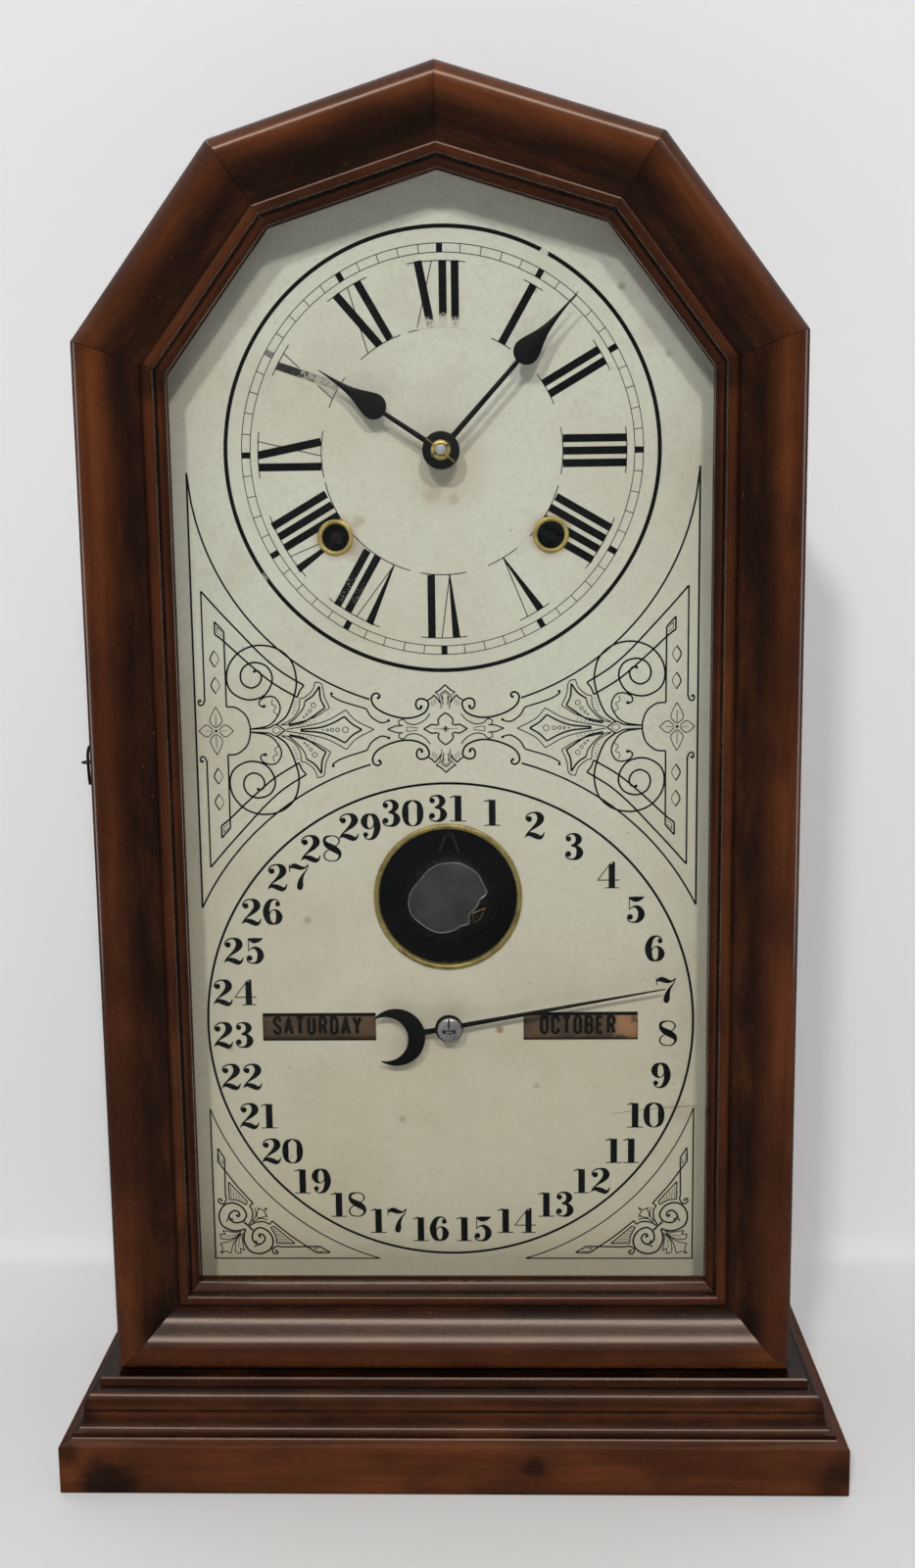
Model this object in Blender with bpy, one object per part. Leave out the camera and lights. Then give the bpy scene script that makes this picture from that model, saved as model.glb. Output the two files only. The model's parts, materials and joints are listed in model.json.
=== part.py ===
"""A shelf calendar clock: moulded walnut case with a glazed door, a two-train pendulum
movement and a roller calendar. X points right, +Y to the back, +Z up; the origin is the
bottom centre. Sizes below are in millimetres and meshes are written in metres."""

import math

import bmesh
import bpy
from mathutils import Matrix, Vector

for old_object in list(bpy.data.objects):
    bpy.data.objects.remove(old_object, do_unlink=True)

MM = 0.001
GAP = 0.3  # clearance between pieces that touch

# Case and base
BASE_HALF_WIDTH = 157.0
BASE_HALF_DEPTH = 63.5
BASE_HEIGHT = 41.7
BASE_FRAME_WIDTH = 34.2
PLINTH_HEIGHT = 19.4
BASE_BOARD_THICKNESS = 9.0
CASE_BOARD = 9.0
CASE_DOOR_OVERHANG = 1.5
BATTEN_WIDTH = 14.0
BATTEN_DEPTH = 10.0
BACK_BOARD_THICKNESS = 6.0

# Door
DOOR_HALF_WIDTH = 136.5
DOOR_SHOULDER_Z = 449.8
DOOR_UPPER_HALF_WIDTH = 83.5
DOOR_UPPER_Z = 520.0
DOOR_TOP_Z = 546.0
DOOR_BOTTOM_CLEARANCE = 1.3
DOOR_SETBACK = 33.5  # from the base's front edge to the back of the door
DOOR_CASE_GAP = 0.5
FRAME_WIDTH = 33.0
FRAME_SIDE_DEPTH = 13.0
RIDGE_INSET = 7.75
RIDGE_DEPTH = 19.0
VALLEY_INSET = 24.0
VALLEY_DEPTH = 8.5
BEAD_RADIUS = 2.5
BEAD_CENTRE_DEPTH = 9.0
LIP_OUTER_DEPTH = 7.5
LIP_INNER_DEPTH = 5.5
REBATE_WIDTH = 3.5
REBATE_DEPTH = 4.0
GLASS_THICKNESS = 2.0
GLAZING_BEAD_THICKNESS = 1.2

# Door hinges and hook
HINGE_RADIUS = 1.8
HINGE_INSET = 1.3
HINGE_SETBACK = 2.4
HINGE_LENGTH = 38.0
HINGE_HEIGHTS = {"lower": 109.0, "upper": 410.0}
LEAF_THICKNESS = 1.0
LEAF_WIDTH = 7.0
HINGE_PIN_RADIUS = 0.7
HOOK_HEIGHT = 291.8
HOOK_WIRE = 0.6
HOOK_REACH = 28.3
HOOK_STANDOFF = 2.9
HOOK_EYE_RISE = 6.3  # in front of the back of the door
EYE_RADIUS = 2.1
EYE_WIRE = 0.5

# Dial plate and what is set in it
DIAL_SETBACK = 14.0  # from the back of the door to the dial's face
DIAL_THICKNESS = 0.8
DIAL_INSET = 16.5
TIME_CENTRE_Z = 410.0
CALENDAR_CENTRE_Z = 179.2
WINDING_X = 42.5
WINDING_DROP = 32.2
GROMMET_HOLE_RADIUS = 5.3
GROMMET_SLEEVE = 0.5
GROMMET_FLANGE_RADIUS = 7.1
FLANGE_THICKNESS = 0.9
SLEEVE_LENGTH = 1.8
WINDOW_CENTRE_Z = 232.5
WINDOW_RADIUS = 28.2
BEZEL_SLEEVE = 0.6
BEZEL_FLANGE_RADIUS = 30.4
NAME_WINDOW_INNER_X = 30.5
NAME_WINDOW_LENGTH = 47.1
NAME_WINDOW_HEIGHT = 12.0
NAME_WINDOW_Z = 177.9

# Hands; each rise is measured forward from the dial's face
HAND_THICKNESS = 0.8
HAND_HUB_RADIUS = 7.2
MINUTE_HAND_LENGTH = 78.0
MINUTE_HAND_RISE = 11.2
MINUTE_SPADE_REACH = 49.0
MINUTE_HAND_ANGLE = 42.4
HOUR_HAND_LENGTH = 56.0
HOUR_HAND_RISE = 8.2
HOUR_SPADE_REACH = 31.0
HOUR_HAND_ANGLE = 303.5
SPADE_RADIUS = 5.0
HAND_STEM = 0.9
HAND_TIP = 0.2
ARBOR_TIP_RISE = 3.4  # in front of the minute hand
COLLET_RADIUS = 3.4
COLLET_THICKNESS = 1.2
DATE_HAND_RISE = 6.4
DATE_HAND_ANGLE = 79.8
DATE_HAND_LENGTH = 89.5
CRESCENT_OFFSET = 22.2
CRESCENT_RADIUS = 12.0
DATE_NUT_RADIUS = 5.75
DATE_NUT_HEIGHT = 2.4

# Movement frame
PLATE_HALF_WIDTH = 66.0
PLATE_BOTTOM_Z = 340.0
PLATE_TOP_Z = 453.0
PLATE_THICKNESS = 1.5
PLATE_STANDOFF = 9.0  # from the back plate's face to the back board
PLATE_SPACING = 35.0
PILLAR_RADIUS = 3.0
PILLAR_INSET = 5.0
PILLAR_MARGIN = 6.0
ARBOR_RADIUS = 1.5
PIVOT_RADIUS = 0.8

# Trains: teeth, leaves and modules
GREAT_TEETH = 36
GREAT_MODULE = 1.4667
SECOND_LEAVES = 6
TIME_SECOND_TEETH = 30
TIME_SECOND_MODULE = 1.3333
CENTRE_LEAVES = 6
CENTRE_TEETH = 60
CENTRE_MODULE = 0.7
THIRD_LEAVES = 6
THIRD_TEETH = 60
THIRD_MODULE = 0.6
ESCAPE_LEAVES = 6
ESCAPE_TEETH = 44
ESCAPE_RADIUS = 13.0
STRIKE_SECOND_TEETH = 42
STRIKE_SECOND_MODULE = 0.8
WARNING_LEAVES = 6
WARNING_TEETH = 40
WARNING_MODULE = 0.7
FLY_LEAVES = 6
CANNON_LEAVES = 8
MINUTE_TEETH = 32
MINUTE_MODULE = 0.75
HOUR_PINION_LEAVES = 8
HOUR_TEETH = 24
WHEEL_THICKNESS = 1.2
THIN_WHEEL = 1.0
GREAT_THICKNESS = 2.0

# Directions of the arbors, in degrees anticlockwise from +X seen from the front
STRIKE_SECOND_ANGLE = 80.0
WARNING_ANGLE = 70.0
FLY_ANGLE = 40.0
MINUTE_WHEEL_ANGLE = 60.0

# Pendulum, verge and gong
PENDULUM_RISE = 6.0  # in front of the front plate
PENDULUM_PIVOT_Z = 392.0
VERGE_Z = 389.5
ESCAPE_Z = 372.5
PENDULUM_ROD_RADIUS = 0.8
BOB_CENTRE_Z = 227.0
BOB_RADIUS = 20.5
BOB_HALF_THICKNESS = 5.0
BOB_LOOP_TOP = 28.1
BOB_LOOP_HALF_WIDTH = 4.8
BOB_WIRE = 0.7
GONG_CENTRE_Z = 286.0
GONG_RADIUS = 32.0
GONG_WIRE = 1.3
GONG_PITCH = 6.5
GONG_TURNS = 3.5
GONG_STANDOFF = 10.9
HAMMER_X = -46.0
HAMMER_Z = 346.0
HAMMER_HEAD_RADIUS = 4.0

# Calendar work
DATE_TEETH = 31
DATE_WHEEL_RADIUS = 26.0
DATE_WHEEL_SETBACK = 3.2  # behind the dial, as the lift rod's
DATE_ARBOR_RADIUS = 2.2
WEEKDAY_RADIUS = 14.0
MONTH_RADIUS = 23.5
ROLLER_LENGTH = 50.0
ROLLER_DIAL_GAP = 0.8
ROLLER_PIVOT = 1.2
CHEEK_THICKNESS = 2.0
LIFT_ROD_X = 33.0
LIFT_ROD_SETBACK = 11.2
LIFT_ROD_RADIUS = 1.2
LIFT_ROD_TOP = 352.0
LIFT_ROD_BOTTOM = 204.0
LIFT_KNEE = 2.0
LIFT_FINGER = 10.0
LIFT_FINGER_DROP = 6.0

# Worked-out places
DOOR_BACK_Y = -BASE_HALF_DEPTH + DOOR_SETBACK
CASE_FRONT_Y = DOOR_BACK_Y + DOOR_CASE_GAP
CASE_BACK_Y = BASE_HALF_DEPTH
CASE_BOTTOM_Z = BASE_HEIGHT + GAP
DOOR_BOTTOM_Z = BASE_HEIGHT + DOOR_BOTTOM_CLEARANCE
CASE_INSET = CASE_DOOR_OVERHANG
CASE_INNER_INSET = CASE_INSET + CASE_BOARD
DIAL_FRONT_Y = DOOR_BACK_Y + DIAL_SETBACK
DIAL_BACK_Y = DIAL_FRONT_Y + DIAL_THICKNESS
BACK_BOARD_FRONT_Y = CASE_BACK_Y - BACK_BOARD_THICKNESS
BACK_PLATE_Y = BACK_BOARD_FRONT_Y - PLATE_STANDOFF
FRONT_PLATE_Y = BACK_PLATE_Y - PLATE_SPACING - PLATE_THICKNESS
BETWEEN_FRONT_Y = FRONT_PLATE_Y + PLATE_THICKNESS + GAP
BETWEEN_BACK_Y = BACK_PLATE_Y - GAP
HINGE_X = DOOR_HALF_WIDTH - HINGE_INSET
HINGE_Y = DOOR_BACK_Y + HINGE_SETBACK
HOOK_X = -DOOR_HALF_WIDTH - HOOK_STANDOFF
HOOK_EYE_Y = DOOR_BACK_Y - HOOK_EYE_RISE
HOOK_PIVOT_Y = HOOK_EYE_Y + HOOK_REACH
WEEKDAY_Y = DIAL_BACK_Y + ROLLER_DIAL_GAP + WEEKDAY_RADIUS
MONTH_Y = DIAL_BACK_Y + ROLLER_DIAL_GAP + MONTH_RADIUS
ROLLER_X = NAME_WINDOW_INNER_X + NAME_WINDOW_LENGTH / 2
MINUTE_HAND_Y = DIAL_FRONT_Y - MINUTE_HAND_RISE
HOUR_HAND_Y = DIAL_FRONT_Y - HOUR_HAND_RISE
DATE_HAND_Y = DIAL_FRONT_Y - DATE_HAND_RISE
PENDULUM_Y = FRONT_PLATE_Y - PENDULUM_RISE
PILLAR_X = PLATE_HALF_WIDTH - PILLAR_INSET
GONG_Y = BACK_BOARD_FRONT_Y - GONG_STANDOFF
DATE_WHEEL_Y = DIAL_BACK_Y + DATE_WHEEL_SETBACK
LIFT_ROD_Y = DIAL_BACK_Y + LIFT_ROD_SETBACK


def polar(centre, angle, distance):
    """The (x, z) point at an angle in degrees anticlockwise from +X seen from the front."""
    turn = math.radians(angle)
    return Vector((centre[0] + distance * math.cos(turn), centre[1] + distance * math.sin(turn)))


def mesh_distance(teeth, leaves, module):
    """Distance between the arbors of a wheel and the pinion that it drives."""
    return module * (teeth + leaves) / 2


def meeting_point(first, first_distance, second, second_distance, side):
    """The point at given distances from two others; side 1 is left of the way between them."""
    between = second - first
    span = between.length
    along = (first_distance**2 - second_distance**2 + span**2) / (2 * span)
    across = math.sqrt(max(first_distance**2 - along**2, 0.0))
    way = between / span
    return first + way * along + Vector((-way.y, way.x)) * across * side


TIME_CENTRE = Vector((0.0, TIME_CENTRE_Z))
TIME_WINDING = Vector((WINDING_X, TIME_CENTRE_Z - WINDING_DROP))
STRIKE_WINDING = Vector((-WINDING_X, TIME_CENTRE_Z - WINDING_DROP))
ESCAPE = Vector((0.0, ESCAPE_Z))
GREAT_DISTANCE = mesh_distance(GREAT_TEETH, SECOND_LEAVES, GREAT_MODULE)
TIME_SECOND = meeting_point(
    TIME_WINDING,
    GREAT_DISTANCE,
    TIME_CENTRE,
    mesh_distance(TIME_SECOND_TEETH, CENTRE_LEAVES, TIME_SECOND_MODULE),
    -1,
)
THIRD = meeting_point(
    TIME_CENTRE,
    mesh_distance(CENTRE_TEETH, THIRD_LEAVES, CENTRE_MODULE),
    ESCAPE,
    mesh_distance(THIRD_TEETH, ESCAPE_LEAVES, THIRD_MODULE),
    -1,
)
STRIKE_SECOND = polar(STRIKE_WINDING, STRIKE_SECOND_ANGLE, GREAT_DISTANCE)
WARNING = polar(
    STRIKE_SECOND,
    WARNING_ANGLE,
    mesh_distance(STRIKE_SECOND_TEETH, WARNING_LEAVES, STRIKE_SECOND_MODULE),
)
FLY = polar(WARNING, FLY_ANGLE, mesh_distance(WARNING_TEETH, FLY_LEAVES, WARNING_MODULE))
HAMMER = Vector((HAMMER_X, HAMMER_Z))
MOTION_DISTANCE = mesh_distance(MINUTE_TEETH, CANNON_LEAVES, MINUTE_MODULE)
HOUR_MODULE = 2 * MOTION_DISTANCE / (HOUR_TEETH + HOUR_PINION_LEAVES)
MINUTE_WHEEL = polar(TIME_CENTRE, MINUTE_WHEEL_ANGLE, MOTION_DISTANCE)

# Material colour (linear), roughness and metallic value
MATERIALS = {
    "walnut": ((0.095, 0.026, 0.012), 0.32, 0.0),
    "pine": ((0.32, 0.19, 0.09), 0.7, 0.0),
    "glass": ((0.85, 0.9, 0.88), 0.05, 0.0),
    "dial_paint": ((0.66, 0.69, 0.58), 0.6, 0.0),
    "blued_steel": ((0.012, 0.012, 0.016), 0.3, 0.8),
    "steel": ((0.4, 0.4, 0.4), 0.3, 1.0),
    "brass": ((0.55, 0.38, 0.13), 0.32, 1.0),
    "cast_iron": ((0.03, 0.03, 0.032), 0.6, 0.6),
    "roller_paper": ((0.23, 0.12, 0.055), 0.55, 0.2),
}


def material_named(name):
    found = bpy.data.materials.get(name)
    if found:
        return found
    colour, roughness, metallic = MATERIALS[name]
    material = bpy.data.materials.new(name)
    material.use_nodes = True
    shader = material.node_tree.nodes["Principled BSDF"]
    shader.inputs["Base Color"].default_value = (*colour, 1.0)
    shader.inputs["Roughness"].default_value = roughness
    shader.inputs["Metallic"].default_value = metallic
    return material


# Bodies: an empty on each joint's axis carries the pieces that move with it
pivots = {}


def pivot(name, place, parent=None):
    empty = bpy.data.objects.new("pivot_" + name, None)
    bpy.context.collection.objects.link(empty)
    origin = Vector(place) * MM
    if parent:
        empty.parent = pivots[parent]
        origin = origin - Vector(pivots[parent]["place"])
    empty.location = origin
    empty["place"] = Vector(place) * MM
    pivots[name] = empty


def solid(name, shape):
    """A Blender object from a bmesh, in millimetres in the clock's frame."""
    bmesh.ops.recalc_face_normals(shape, faces=shape.faces)
    mesh = bpy.data.meshes.new(name)
    shape.to_mesh(mesh)
    shape.free()
    built = bpy.data.objects.new(name, mesh)
    bpy.context.collection.objects.link(built)
    return built


def apply_boolean(body, shape, operation):
    tool = solid("tool", shape)
    modifier = body.modifiers.new("boolean", "BOOLEAN")
    modifier.operation = operation
    modifier.object = tool
    bpy.context.view_layer.objects.active = body
    bpy.ops.object.modifier_apply(modifier=modifier.name)
    bpy.data.objects.remove(tool, do_unlink=True)


def piece(name, material, body, shapes, cuts=()):
    """A named sub-part: the union of its shapes less its cuts, carried by a body's pivot."""
    built = solid(name, shapes[0])
    for shape in shapes[1:]:
        apply_boolean(built, shape, "UNION")
    for shape in cuts:
        apply_boolean(built, shape, "DIFFERENCE")
    carrier = pivots[body]
    built.data.transform(Matrix.Translation(-Vector(carrier["place"])) @ Matrix.Scale(MM, 4))
    built.parent = carrier
    built.data.materials.clear()
    built.data.materials.append(material_named(material))
    for face in built.data.polygons:
        face.material_index = 0
    built.data.shade_smooth()
    built.data.set_sharp_from_angle(angle=math.radians(35))
    return built


def loft(rings, closed=False):
    """Skin between rings of 3D points; open lofts get a flat cap at each end."""
    shape = bmesh.new()
    rows = [[shape.verts.new(point) for point in ring] for ring in rings]
    pairs = list(zip(rows, rows[1:]))
    if closed:
        pairs.append((rows[-1], rows[0]))
    for lower, upper in pairs:
        for i in range(len(lower)):
            j = (i + 1) % len(lower)
            shape.faces.new((lower[i], lower[j], upper[j], upper[i]))
    if not closed:
        shape.faces.new(rows[0])
        shape.faces.new(rows[-1])
    return shape


def prism(outline, front, back, axis="y"):
    """An outline extruded along an axis: (x, z) along y, (y, z) along x or (x, y) along z."""
    place = {
        "y": lambda a, b, t: (a, t, b),
        "x": lambda a, b, t: (t, a, b),
        "z": lambda a, b, t: (a, b, t),
    }[axis]
    return loft([[place(a, b, t) for a, b in outline] for t in (front, back)])


def block(low, high):
    (x0, y0, z0), (x1, y1, z1) = low, high
    return prism([(x0, z0), (x1, z0), (x1, z1), (x0, z1)], y0, y1)


def circle(centre, radius, count, start=0.0):
    return [tuple(polar(centre, start + 360 * i / count, radius)) for i in range(count)]


def turned(profile, centre, count=16, axis="y"):
    """A profile of (radius, distance along the axis) points revolved about the axis.
    A profile that starts and ends at radius 0 is solid, and any other closes on itself."""
    place = {
        "y": lambda c, s, t: (centre[0] + c, t, centre[1] + s),
        "x": lambda c, s, t: (t, centre[0] + c, centre[1] + s),
        "z": lambda c, s, t: (centre[0] + c, centre[1] + s, t),
    }[axis]
    shape = bmesh.new()
    rows = []
    for i in range(count):
        turn = math.tau * (i + 0.5) / count
        rows.append([])
        for radius, along in profile:
            spot = place(radius * math.cos(turn), radius * math.sin(turn), along)
            rows[-1].append(shape.verts.new(spot))
    is_solid = profile[0][0] == 0 and profile[-1][0] == 0
    steps = len(profile) - 1 if is_solid else len(profile)
    for i in range(count):
        here, after = rows[i], rows[(i + 1) % count]
        for j in range(steps):
            k = (j + 1) % len(profile)
            shape.faces.new((here[j], here[k], after[k], after[j]))
    bmesh.ops.remove_doubles(shape, verts=shape.verts, dist=0.001)
    bmesh.ops.dissolve_degenerate(shape, edges=shape.edges, dist=0.001)
    return shape


def rod(start, end, radius, count=8):
    """A round bar between two 3D points."""
    return tube([start, end], radius, count)


def tube(points, radius, count=8, closed=False):
    """A round wire along 3D points, with its cross-section carried from point to point."""
    points = [Vector(point) for point in points]
    total = len(points)
    side = None
    rings = []
    for i, point in enumerate(points):
        before = points[i - 1] if i or closed else points[0]
        after = points[(i + 1) % total] if i < total - 1 or closed else points[-1]
        along = (after - before).normalized()
        if side is None:
            side = along.cross((0, 0, 1)) if abs(along.z) < 0.9 else along.cross((1, 0, 0))
        side = (side - along * side.dot(along)).normalized()
        other = along.cross(side)
        rings.append([])
        for k in range(count):
            turn = math.tau * (k + 0.5) / count
            offset = side * math.cos(turn) + other * math.sin(turn)
            rings[-1].append(tuple(point + offset * radius))
    return loft(rings, closed)


def merged(shapes):
    """Several separate shapes in one mesh, to use as one Boolean operand."""
    result = bmesh.new()
    for shape in shapes:
        scratch = bpy.data.meshes.new("scratch")
        shape.to_mesh(scratch)
        shape.free()
        result.from_mesh(scratch)
        bpy.data.meshes.remove(scratch)
    return result


# Wheel work
TOOTH_TIP = 0.8  # addendum in modules
TOOTH_ROOT = 1.3  # dedendum in modules


def toothed_outline(centre, teeth, module, facing):
    """Pointed clock teeth, one of them on the line towards an angle in degrees."""
    pitch_radius = module * teeth / 2
    step = 360 / teeth
    outline = []
    for i in range(teeth):
        tip = facing + i * step
        outline.append(tuple(polar(centre, tip, pitch_radius + TOOTH_TIP * module)))
        outline.append(tuple(polar(centre, tip + step / 2, pitch_radius - TOOTH_ROOT * module)))
    return outline


def crossings(centre, hub, rim, arms, front, back):
    """Cutters that leave a wheel with a hub, a rim and straight arms."""
    cutters = []
    half_arm = 1.3
    for i in range(arms):
        start = 360 * i / arms
        points = []
        for radius, order in ((rim, 1), (hub, -1)):
            lean = math.degrees(math.asin(half_arm / radius))
            steps = 4 if order > 0 else 2
            first, last = start + lean, start + 360 / arms - lean
            arc = [first + (last - first) * k / (steps - 1) for k in range(steps)]
            points += [tuple(polar(centre, angle, radius)) for angle in arc[::order]]
        cutters.append(prism(points, front - 1, back + 1))
    return merged(cutters)


def spoked_wheel(centre, teeth, module, facing, front, thickness, hub=4.0, arms=3):
    wheel = solid("wheel", prism(toothed_outline(centre, teeth, module, facing), front, front + thickness))
    rim = module * teeth / 2 - 3.2 * module - 0.6
    apply_boolean(wheel, crossings(centre, hub, rim, arms, front, front + thickness), "DIFFERENCE")
    shape = bmesh.new()
    shape.from_mesh(wheel.data)
    bpy.data.objects.remove(wheel, do_unlink=True)
    return shape


def stepped(segments, end, centre, count=8, axis="y"):
    """A solid turned bar; each segment is (where it starts, its radius)."""
    profile = [(0, segments[0][0])]
    for (start, radius), (following, _) in zip(segments, segments[1:] + [(end, 0)]):
        profile += [(radius, start), (radius, following)]
    profile.append((0, end))
    return turned(profile, centre, count, axis)


def between_plates(centre):
    """An arbor with a pivot in each plate."""
    front = BETWEEN_FRONT_Y - PLATE_THICKNESS
    steps = [(front, PIVOT_RADIUS), (BETWEEN_FRONT_Y, ARBOR_RADIUS), (BETWEEN_BACK_Y, PIVOT_RADIUS)]
    return stepped(steps, BETWEEN_BACK_Y + PLATE_THICKNESS, centre, 6)


def pinion(centre, leaves, module, facing, front, back):
    """A pinion with a gap between two leaves towards an angle in degrees."""
    return prism(toothed_outline(centre, leaves, module, facing + 180 / leaves), front, back)


def towards(start, end):
    """Direction from one arbor to another, in degrees anticlockwise from +X."""
    return math.degrees(math.atan2(end[1] - start[1], end[0] - start[0]))


# Outlines of the case
DOOR_CORNERS = [
    (-DOOR_HALF_WIDTH, DOOR_BOTTOM_Z),
    (-DOOR_HALF_WIDTH, DOOR_SHOULDER_Z),
    (-DOOR_UPPER_HALF_WIDTH, DOOR_UPPER_Z),
    (0.0, DOOR_TOP_Z),
    (DOOR_UPPER_HALF_WIDTH, DOOR_UPPER_Z),
    (DOOR_HALF_WIDTH, DOOR_SHOULDER_Z),
    (DOOR_HALF_WIDTH, DOOR_BOTTOM_Z),
]
MITRE_GAP = 0.22  # each member's share of the gap, measured along the member


def corner_shift(index):
    """How far a corner of the door moves for each millimetre of inset."""
    before, here, after = (Vector(DOOR_CORNERS[(index + k) % 7]) for k in (-1, 0, 1))
    first, second = (here - before).normalized(), (after - here).normalized()
    inward = Vector((first.y, -first.x)) + Vector((second.y, -second.x))
    return inward / (1 + first.dot(second))


def inset_corner(index, inset):
    return Vector(DOOR_CORNERS[index % 7]) + corner_shift(index % 7) * inset


def door_outline(inset):
    return [tuple(inset_corner(i, inset)) for i in range(7)]


def arch_outline(inset, bottom):
    """The door's outline moved inward, with its foot at a given height."""
    arch = [tuple(inset_corner(i, inset)) for i in range(1, 6)]
    half = DOOR_HALF_WIDTH - inset
    return [(-half, bottom)] + arch + [(half, bottom)]


def mitred_member(profile, index, trim=MITRE_GAP):
    """A moulding along one side of the door's outline, cut at the mitre at both ends."""
    start, end = Vector(DOOR_CORNERS[index]), Vector(DOOR_CORNERS[(index + 1) % 7])
    way = (end - start).normalized() * trim
    rings = []
    for corner, shift in ((index, way), (index + 1, -way)):
        spots = [(inset_corner(corner, inset) + shift, y) for inset, y in profile]
        rings.append([(spot.x, y, spot.y) for spot, y in spots])
    return loft(rings)


def quarter_curve(start, end, steps, hollow=False):
    """Points of a quarter ellipse: a swelling one leaves its start upright, a hollow one flat."""
    points = []
    for i in range(steps + 1):
        turn = math.pi / 2 * i / steps
        a, b = 1 - math.cos(turn), math.sin(turn)
        if hollow:
            a, b = b, a
        points.append((start[0] + (end[0] - start[0]) * a, start[1] + (end[1] - start[1]) * b))
    return points


def door_profile():
    """The frame moulding as (inset, y): a bold roll, a hollow, a bead and the glass rebate."""
    points = [(0, 0)]
    points += quarter_curve((0, FRAME_SIDE_DEPTH), (RIDGE_INSET, RIDGE_DEPTH), 4)
    middle = (RIDGE_DEPTH + VALLEY_DEPTH) / 2
    swing = (RIDGE_DEPTH - VALLEY_DEPTH) / 2
    steps = 7
    for i in range(1, steps + 1):
        share = i / steps
        inset = RIDGE_INSET + (VALLEY_INSET - RIDGE_INSET) * share
        points.append((inset, middle + swing * math.cos(math.pi * share)))
    rebate = FRAME_WIDTH - REBATE_WIDTH
    for angle in (180, 135, 90, 45, 0):
        turn = math.radians(angle)
        inset = rebate - BEAD_RADIUS + BEAD_RADIUS * math.cos(turn)
        points.append((inset, BEAD_CENTRE_DEPTH + BEAD_RADIUS * math.sin(turn)))
    points += [(rebate, LIP_OUTER_DEPTH), (FRAME_WIDTH, LIP_INNER_DEPTH)]
    points += [(FRAME_WIDTH, REBATE_DEPTH), (rebate, REBATE_DEPTH), (rebate, 0)]
    return [(inset, DOOR_BACK_Y - depth) for inset, depth in points]


# Base moulding, as insets from the plinth's face and heights
CHAMFER_INSET = 1.2
CHAMFER_TOP = 20.6
FILLET_INSET = 4.5
FILLET_TOP = 23.2
COVE_INSET = 8.6
COVE_TOP = 30.0
OVOLO_INSET = 13.3
OVOLO_TOP = 37.5
LEDGE_INSET = 14.0


def base_profile():
    points = [(0, 0), (0, PLINTH_HEIGHT), (CHAMFER_INSET, CHAMFER_TOP)]
    points += [(FILLET_INSET, CHAMFER_TOP + 0.4), (FILLET_INSET, FILLET_TOP)]
    points += quarter_curve((FILLET_INSET + 0.5, FILLET_TOP), (COVE_INSET, COVE_TOP), 4, True)
    points += quarter_curve((COVE_INSET, COVE_TOP + 1), (OVOLO_INSET, OVOLO_TOP), 4)
    points += [(LEDGE_INSET, OVOLO_TOP), (LEDGE_INSET, BASE_HEIGHT)]
    return points + [(BASE_FRAME_WIDTH, BASE_HEIGHT), (BASE_FRAME_WIDTH, 0)]


def base_member(start, end, start_mitred, end_mitred):
    """A base moulding from one plan corner to the next, mitred or square at each end."""
    start, end = Vector(start), Vector(end)
    way = (end - start).normalized()
    inward = Vector((-way.y, way.x))
    rings = []
    for corner, mitred, sign in ((start, start_mitred, 1), (end, end_mitred, -1)):
        rings.append([])
        for inset, height in base_profile():
            spot = corner + inward * inset
            if mitred:
                spot = spot + way * sign * (inset + MITRE_GAP)
            rings[-1].append((spot.x, spot.y, height))
    return loft(rings)


def build_base():
    back_left = (-BASE_HALF_WIDTH, BASE_HALF_DEPTH)
    front_left = (-BASE_HALF_WIDTH, -BASE_HALF_DEPTH)
    front_right = (BASE_HALF_WIDTH, -BASE_HALF_DEPTH)
    back_right = (BASE_HALF_WIDTH, BASE_HALF_DEPTH)
    piece("base_left_moulding", "walnut", "case", [base_member(back_left, front_left, False, True)])
    piece("base_front_moulding", "walnut", "case", [base_member(front_left, front_right, True, True)])
    piece("base_right_moulding", "walnut", "case", [base_member(front_right, back_right, True, False)])
    half = BASE_HALF_WIDTH - BASE_FRAME_WIDTH - GAP
    front = -BASE_HALF_DEPTH + BASE_FRAME_WIDTH + GAP
    top = BASE_HEIGHT - GAP
    board = block((-half, front, top - BASE_BOARD_THICKNESS), (half, BASE_HALF_DEPTH, top))
    piece("base_board", "pine", "case", [board])


def case_profile():
    """A case board with the batten that the dial is screwed to, as (inset, y)."""
    outer, inner = CASE_INSET, CASE_INNER_INSET
    seat = DIAL_BACK_Y + GAP
    batten = inner + BATTEN_WIDTH
    points = [(outer, CASE_FRONT_Y), (inner, CASE_FRONT_Y), (inner, seat), (batten, seat)]
    points += [(batten, seat + BATTEN_DEPTH), (inner, seat + BATTEN_DEPTH)]
    return points + [(inner, CASE_BACK_Y), (outer, CASE_BACK_Y)]


def case_ring(corner, shift):
    """The case board's section at a corner of the outline, moved along the board."""
    spots = [(inset_corner(corner, inset) + shift, y) for inset, y in case_profile()]
    return [(spot.x, y, spot.y) for spot, y in spots]


def case_side(side):
    """A side board from the base up to its mitre at the shoulder; side is -1 or 1."""
    foot = []
    for inset, y in case_profile():
        foot.append((side * (DOOR_HALF_WIDTH - inset), y, CASE_BOTTOM_Z))
    corner = 1 if side < 0 else 5
    return loft([foot, case_ring(corner, Vector((0, -MITRE_GAP)))])


def roof_side(corners):
    """Two sloping roof boards glued at their joint, mitred at the shoulder and the ridge."""
    ways = []
    for first, second in zip(corners, corners[1:]):
        way = Vector(DOOR_CORNERS[second]) - Vector(DOOR_CORNERS[first])
        ways.append(way.normalized() * MITRE_GAP)
    shifts = [ways[0], Vector((0, 0)), -ways[1]]
    return loft([case_ring(corner, shift) for corner, shift in zip(corners, shifts)])


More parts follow.
